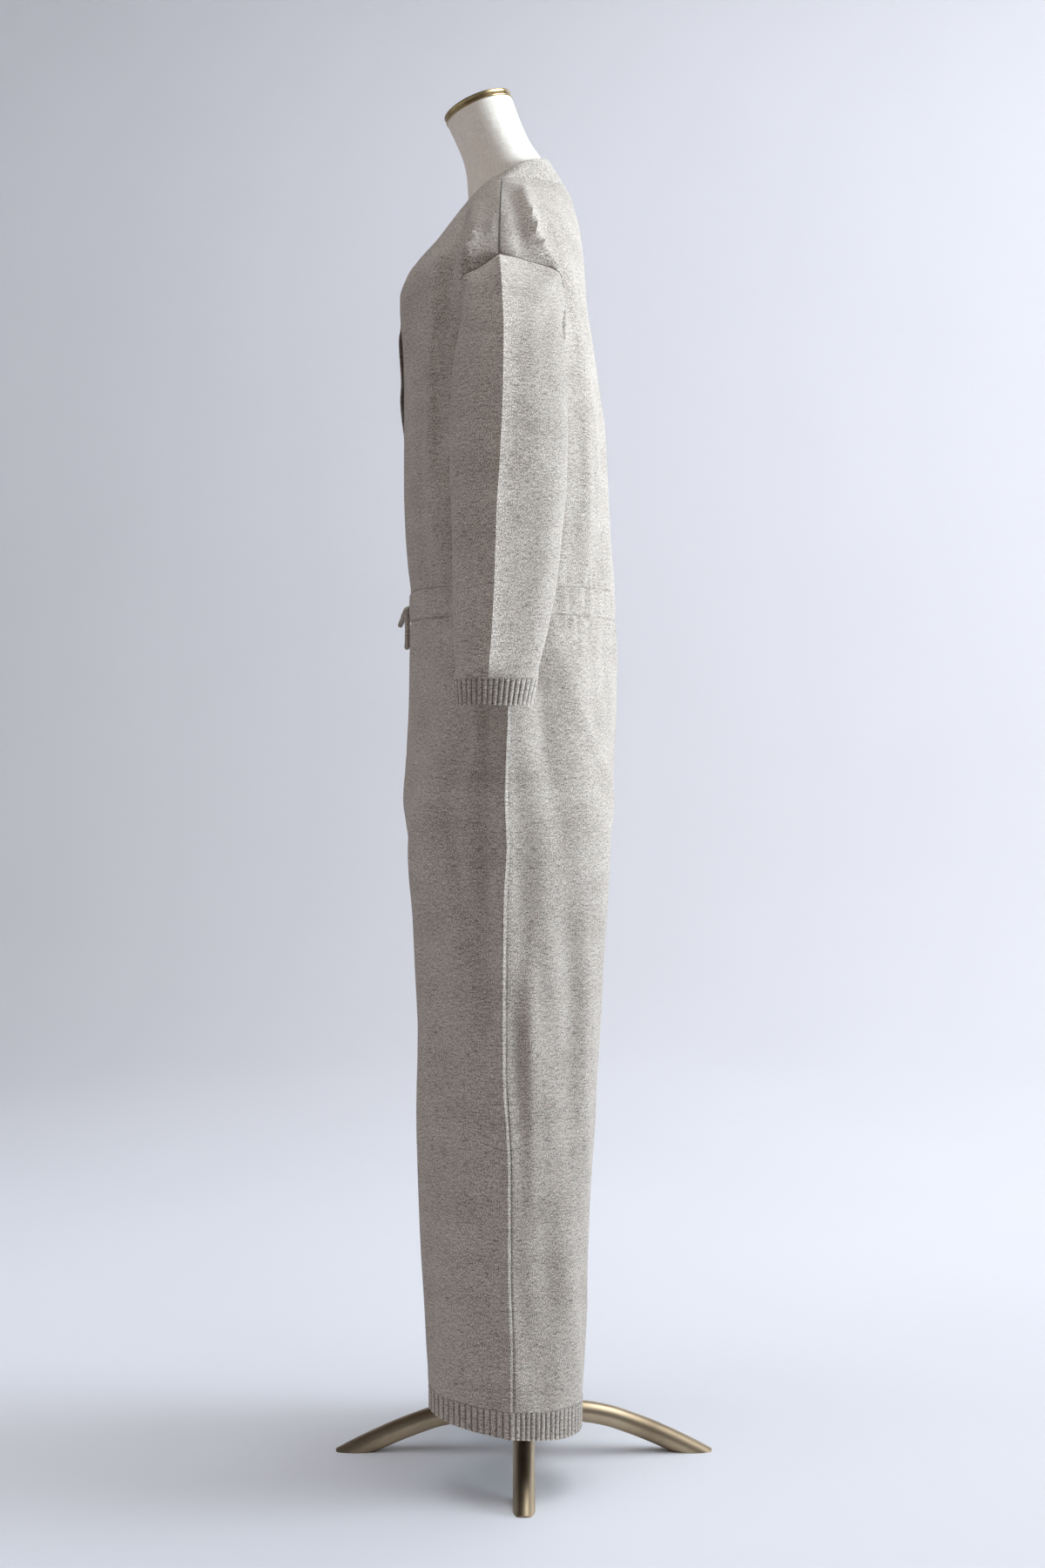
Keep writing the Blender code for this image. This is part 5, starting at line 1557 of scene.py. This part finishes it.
class Graph:
    """A material's node tree, put together from its surface shader outwards."""

    def __init__(self, name, **settings):
        self.material = bpy.data.materials.new(name)
        self.material.use_nodes = True
        self.tree = self.material.node_tree
        self.shader = self.tree.nodes["Principled BSDF"]
        for socket, value in settings.items():
            self.shader.inputs[socket.replace("_", " ")].default_value = value

    def node(self, kind, *inputs, output=0, **settings):
        made = self.tree.nodes.new("ShaderNode" + kind)
        for name, value in settings.items():
            setattr(made, name, value)
        for number, value in enumerate(inputs):
            self.feed(made.inputs[number], value)
        return made.outputs[output]

    def feed(self, socket, value):
        if isinstance(value, bpy.types.NodeSocket):
            self.tree.links.new(value, socket)
        elif value is not None:
            socket.default_value = value

    def math(self, operation, *inputs, clamp=False):
        return self.node("Math", *inputs, operation=operation, use_clamp=clamp)

    def flat(self, name):
        """The two coordinates of a UV map, in metres of flat cloth."""
        place = self.node("UVMap", uv_map=name)
        split = self.node("SeparateXYZ", place)
        return split, split.node.outputs[1]

    def place(self, x, y, z=0.0):
        return self.node("CombineXYZ", x, y, z)

    def spot(self):
        """The place in the object, in metres."""
        return self.node("TexCoord", output=3)

    def noise(self, vector, scale, detail=2.0, roughness=0.5):
        made = self.tree.nodes.new("ShaderNodeTexNoise")
        self.feed(made.inputs["Vector"], vector)
        made.inputs["Scale"].default_value = scale
        made.inputs["Detail"].default_value = detail
        made.inputs["Roughness"].default_value = roughness
        return made.outputs[0]

    def swing(self, x, y, x_scale, y_scale, seed, amount):
        """Noise about zero over two coordinates, each with its own scale."""
        place = self.place(self.math("MULTIPLY", x, x_scale), self.math("MULTIPLY", y, y_scale), seed)
        return self.math("MULTIPLY", self.math("SUBTRACT", self.noise(place, 1.0), 0.5), amount)

    def ramp(self, value, *stops):
        made = self.tree.nodes.new("ShaderNodeValToRGB")
        self.feed(made.inputs[0], value)
        line = made.color_ramp
        for position, _ in stops[2:]:
            line.elements.new(position)
        for element, (position, colour) in zip(sorted(line.elements, key=lambda e: e.position), stops):
            element.position = position
            element.color = (*colour, 1)
        return made.outputs[0]

    def span(self, value, low, high, start=0.0, end=1.0):
        """Maps low to high smoothly on to start to end."""
        made = self.tree.nodes.new("ShaderNodeMapRange")
        made.interpolation_type = "SMOOTHSTEP"
        for number, item in enumerate((value, low, high, start, end)):
            self.feed(made.inputs[number], item)
        return made.outputs[0]

    def mix(self, factor, first, second, kind="MIX"):
        made = self.tree.nodes.new("ShaderNodeMix")
        made.data_type = "RGBA"
        made.blend_type = kind
        for name, value in (("Factor_Float", factor), ("A_Color", first), ("B_Color", second)):
            socket = next(item for item in made.inputs if item.identifier == name)
            self.feed(socket, (*value, 1) if isinstance(value, tuple) else value)
        return next(item for item in made.outputs if item.identifier == "Result_Color")

    def finish(self, colour, height=None, distance=0.001, strength=1.0, roughness=None):
        self.feed(self.shader.inputs["Base Color"], colour)
        if roughness is not None:
            self.feed(self.shader.inputs["Roughness"], roughness)
        if height is not None:
            bump = self.tree.nodes.new("ShaderNodeBump")
            bump.inputs["Strength"].default_value = strength
            bump.inputs["Distance"].default_value = distance
            self.feed(bump.inputs["Height"], height)
            self.tree.links.new(bump.outputs[0], self.shader.inputs["Normal"])
        return self.material


def stitches(g, u, v, wale, course):
    """V stitches in columns: their height, and the number of the stitch's row."""
    wander = g.swing(u, v, 60.0, 60.0, 0.0, 1.0)
    a = g.math("ADD", g.math("DIVIDE", u, wale), g.math("MULTIPLY", wander, 0.5))
    b = g.math("ADD", g.math("DIVIDE", v, course), g.math("MULTIPLY", wander, 0.6))
    half = g.math("ABSOLUTE", g.math("SUBTRACT", g.math("FRACT", a), 0.5))
    lean = g.math("ADD", b, g.math("MULTIPLY", half, 2.1))
    away = g.math("MULTIPLY", g.math("SUBTRACT", half, 0.25), 4.0)
    leg = g.math("SUBTRACT", 1.0, g.math("MULTIPLY", away, away))
    wave = g.math("SINE", g.math("MULTIPLY", lean, 2 * math.pi))
    return g.math("ADD", leg, g.math("MULTIPLY", wave, 0.38)), g.math("FLOOR", lean)


def heather(g, u, v, row, fibre):
    """Yarn spun from pale, dark and rosy wool, with dark flecks."""
    tone = g.math("ADD", 0.5, g.swing(u, row, 330.0, 4.17, 1.0, 0.45))
    for across, up, seed, amount in (
        (800.0, 620.0, 3.0, 1.55),
        (120.0, 380.0, 7.0, 0.45),
        (14.0, 30.0, 9.0, 0.24),
    ):
        tone = g.math("ADD", tone, g.swing(u, v, across, up, seed, amount))
    tone = g.math("ADD", tone, g.math("MULTIPLY", fibre, 0.6))
    colour = g.ramp(
        tone,
        (0.20, KNIT_DARK),
        (0.38, KNIT_MID_DARK),
        (0.51, KNIT_MID),
        (0.64, KNIT_LIGHT),
        (0.82, KNIT_PALE),
    )
    tint = g.swing(u, row, 120.0, 2.31, 11.0, 1.0)
    colour = g.mix(g.span(tint, 0.03, 0.22, 0.0, 0.45), colour, KNIT_ROSE)
    dash = g.swing(u, v, 120.0, 480.0, 13.0, 1.0)
    colour = g.mix(g.span(dash, 0.10, 0.22, 0.0, 0.85), colour, KNIT_FLECK)
    speck = g.swing(u, v, 520.0, 620.0, 17.0, 1.0)
    return g.mix(g.span(speck, 0.12, 0.22, 0.0, 0.75), colour, KNIT_FLECK)


def knit_material(name, wale=WALE, course=COURSE, groove=0.45, ribbed=False):
    """Fine wool stockinette: V stitches, a milled face and a heathered yarn, with painted shade in the
    hollows between stitches and, when ribbed, in the grooves between ribs.
    """
    g = Graph(name, Roughness=0.95, Sheen_Weight=0.25, Sheen_Roughness=0.45, IOR=1.4)
    u, v = g.flat("knit")
    stitch, row = stitches(g, u, v, wale, course)
    fibre = g.swing(u, v, 2100.0, 1500.0, 0.0, 1.0)
    felt = g.swing(u, v, 700.0, 600.0, 5.0, 1.0)
    height = g.math("ADD", g.math("MULTIPLY", stitch, 0.75), g.math("MULTIPLY", fibre, 1.4))
    height = g.math("ADD", height, g.math("MULTIPLY", felt, 1.3))
    colour = heather(g, u, v, row, fibre)
    # Painted shade: the hollows between stitches are darkened in the colour; groove sets how much.
    colour = g.mix(g.span(stitch, -0.3, 0.75, groove, 0.0), colour, KNIT_GROOVE_SHADE)
    if ribbed:
        phase, seen = g.flat("ribs")
        nearest = g.math("SUBTRACT", phase, g.math("ROUND", phase))
        # Painted shade: the grooves between ribs are darkened in the colour.
        rib_groove_shade = g.span(g.math("ABSOLUTE", nearest), 0.05, 0.23, 0.64, 0.0)
        colour = g.mix(g.math("MULTIPLY", rib_groove_shade, seen), colour, RIB_GROOVE_SHADE)
    return g.finish(colour, height, distance=0.0006, strength=0.85)


def linen_material():
    g = Graph("linen_cover", Roughness=0.9, Sheen_Weight=0.15, Sheen_Roughness=0.5)
    u, v = g.flat("knit")
    sway = g.noise(g.place(g.math("MULTIPLY", u, 35.0), g.math("MULTIPLY", v, 35.0)), 1.0)
    warp = g.math("ADD", g.math("DIVIDE", u, 0.00075), sway)
    weft = g.math("ADD", g.math("DIVIDE", v, 0.00080), sway)
    over = g.math("SINE", g.math("MULTIPLY", warp, 2 * math.pi))
    under = g.math("SINE", g.math("MULTIPLY", weft, 2 * math.pi))
    weave = g.math("MULTIPLY", over, under)
    slub = g.noise(g.place(g.math("MULTIPLY", u, 60.0), g.math("MULTIPLY", v, 1500.0)), 1.0, 2.0, 0.6)
    stick = g.noise(g.place(g.math("MULTIPLY", u, 1500.0), g.math("MULTIPLY", v, 60.0)), 1.0, 2.0, 0.6)
    threads = g.math("ADD", slub, stick)
    height = g.math("ADD", g.math("MULTIPLY", weave, 0.3), threads)
    tone = g.math("ADD", g.math("MULTIPLY", threads, 0.5), g.math("MULTIPLY", weave, 0.04))
    colour = g.ramp(
        tone,
        (0.36, (0.68, 0.62, 0.53)),
        (0.50, (0.86, 0.80, 0.70)),
        (0.64, (0.95, 0.90, 0.82)),
    )
    return g.finish(colour, height, distance=0.0004, strength=0.7)


def brass_material():
    g = Graph("polished_brass", Metallic=1.0)
    spot = g.spot()
    cloud = g.noise(spot, 55.0, 4.0, 0.6)
    fine = g.noise(spot, 900.0, 2.0, 0.6)
    colour = g.ramp(
        cloud,
        (0.30, (0.27, 0.190, 0.085)),
        (0.55, (0.41, 0.305, 0.150)),
        (0.75, (0.50, 0.395, 0.225)),
    )
    mixed = g.math("ADD", g.math("MULTIPLY", cloud, 0.7), g.math("MULTIPLY", fine, 0.3))
    rough = g.span(mixed, 0.3, 0.7, 0.24, 0.40)
    return g.finish(colour, fine, distance=0.0001, strength=0.25, roughness=rough)


def antique_brass_material():
    g = Graph("aged_brass", Metallic=1.0)
    spot = g.spot()
    cloud = g.noise(spot, 14.0, 3.0, 0.5)
    fine = g.noise(spot, 700.0, 2.0, 0.6)
    mixed = g.math("ADD", g.math("MULTIPLY", cloud, 0.85), g.math("MULTIPLY", fine, 0.15))
    colour = g.ramp(
        mixed,
        (0.30, (0.290, 0.225, 0.148)),
        (0.50, (0.430, 0.342, 0.228)),
        (0.70, (0.550, 0.448, 0.310)),
    )
    rough = g.span(mixed, 0.35, 0.65, 0.42, 0.34)
    return g.finish(colour, fine, distance=0.0001, strength=0.12, roughness=rough)


def thread_material():
    g = Graph("seam_thread", Roughness=0.85, Sheen_Weight=0.2)
    tone = g.noise(g.spot(), 700.0, 3.0, 0.6)
    colour = g.ramp(
        tone,
        (0.30, (0.05, 0.044, 0.038)),
        (0.55, (0.09, 0.080, 0.070)),
        (0.75, (0.15, 0.135, 0.120)),
    )
    return g.finish(colour, tone, distance=0.0002, strength=0.6)


def backdrop_material():
    """Pale paper with painted shade: its colour is darkened towards the garment's front, where the
    studio is dark.
    """
    g = Graph("seamless_paper", Roughness=0.9, IOR=1.3)
    spot = g.spot()
    tone = g.noise(spot, 0.9, 2.0)
    pale = g.ramp(tone, (0.35, (0.640, 0.650, 0.685)), (0.65, (0.655, 0.665, 0.700)))
    split = g.node("SeparateXYZ", spot)
    # Painted shade: the paper's colour is multiplied down towards -Y, standing in for the dark side of
    # the studio.
    light = g.span(split.node.outputs[1], -3.4, -1.9, 0.70, 1.0)
    painted_shade = g.node("CombineXYZ", light, light, light)
    return g.finish(g.mix(1.0, pale, painted_shade, "MULTIPLY"))


# ---- stage, light and camera

STAGE_RADIUS = 5.6
STAGE_CURVE = 2.8
CAMERA_PLACE = (2.493, -0.0015, 0.8245)
LENS = 49.86
FRAME_RISE = -60 / 1800  # the picture's middle is below the horizon


def make_stage(finish):
    """A round floor that curves up into a wall on every side."""
    profile = [(0.5, 0.0), (STAGE_RADIUS - STAGE_CURVE, 0.0)]
    for turn in np.linspace(0, math.pi / 2, 25)[1:]:
        reach = STAGE_RADIUS - STAGE_CURVE + STAGE_CURVE * math.sin(turn)
        profile.append((reach, STAGE_CURVE * (1 - math.cos(turn))))
    profile.append((STAGE_RADIUS, 6.0))
    rings = turned(profile, 96)
    rows, columns = rings.shape[:2]
    i, j = quads(rows, columns, True)
    faces = (i * columns + j % columns)[:, ::-1].tolist()
    faces.append(tuple(range(columns)))
    mesh = bpy.data.meshes.new("stage")
    mesh.from_pydata(rings.reshape(-1, 3).tolist(), [], faces)
    mesh.materials.append(finish)
    placed("stage", mesh, sharp_angle=None)


LIGHTS = (
    # name, place, aim, size, power in watts, spread in degrees, colour, seen in gloss
    ("key", (-0.15, 3.9, 1.75), (0, 0, 1.52), (2.8, 2.4), 67, 52, (0.80, 0.90, 1.0), True),
    ("fill", (2.3, -3.4, 1.0), (0, 0, 0.40), (2.6, 2.6), 19, 180, (1.0, 0.62, 0.36), False),
    ("top", (-0.5, 1.3, 3.8), (0, 0.3, 0.4), (2.2, 2.2), 9, 180, (0.97, 0.98, 1.0), True),
    ("wall_light", (-2.2, 1.6, 3.4), (-5.2, 1.2, 0.9), (3.0, 2.0), 150, 180, (0.94, 0.96, 1.0), False),
    ("floor_left", (0.9, -1.7, 3.6), (0.4, -1.7, 0.0), (3.8, 3.0), 30, 100, (0.92, 0.95, 1.0), False),
    ("floor_right", (0.6, 2.2, 3.6), (0.6, 2.1, 0.0), (4.6, 3.6), 54, 100, (0.92, 0.95, 1.0), True),
)


def make_lights():
    for name, place, aim, size, power_in_watts, spread, colour, in_gloss in LIGHTS:
        lamp = bpy.data.lights.new(name, "AREA")
        lamp.shape = "RECTANGLE"
        lamp.size, lamp.size_y = size
        lamp.energy = power_in_watts
        lamp.spread = math.radians(spread)
        lamp.color = colour
        obj = bpy.data.objects.new(name, lamp)
        obj.location = place
        obj.rotation_euler = (Vector(aim) - Vector(place)).to_track_quat("-Z", "Y").to_euler()
        obj.visible_camera = False
        obj.visible_glossy = in_gloss
        bpy.context.scene.collection.objects.link(obj)
    world = bpy.data.worlds.new("studio")
    world.use_nodes = True
    sky = world.node_tree.nodes["Background"]
    sky.inputs[0].default_value = (1.0, 0.80, 0.62, 1)
    sky.inputs[1].default_value = 0.08
    bpy.context.scene.world = world
    bpy.context.scene.view_settings.view_transform = "Standard"


def make_camera():
    data = bpy.data.cameras.new("camera")
    data.lens = LENS
    data.sensor_width = 36.0
    data.shift_y = FRAME_RISE
    data.clip_end = 100.0
    camera = bpy.data.objects.new("camera", data)
    camera.location = CAMERA_PLACE
    camera.rotation_euler = (math.pi / 2, 0, math.pi / 2)
    bpy.context.scene.collection.objects.link(camera)
    bpy.context.scene.camera = camera


# ---- building the scene


def main():
    make_camera()
    knit = knit_material("heather_knit_face")
    make_cords(knit_material("heather_cord", wale=0.0016, course=0.0013, groove=0.6))
    rib = knit_material("heather_rib", ribbed=True)
    thread = thread_material()
    make_bodice(knit)
    make_bands(knit)
    make_casing(knit)
    make_trousers(knit)
    make_hems(rib)
    make_sleeves(knit)
    make_cuffs(rib)
    sew_shoulders(thread)
    sew_armholes(thread)
    sew_sides(thread)
    make_form(linen_material())
    make_cap(brass_material())
    antique = antique_brass_material()
    make_pole_and_hub(antique)
    make_stand_legs(antique)
    make_stage(backdrop_material())
    make_lights()


main()
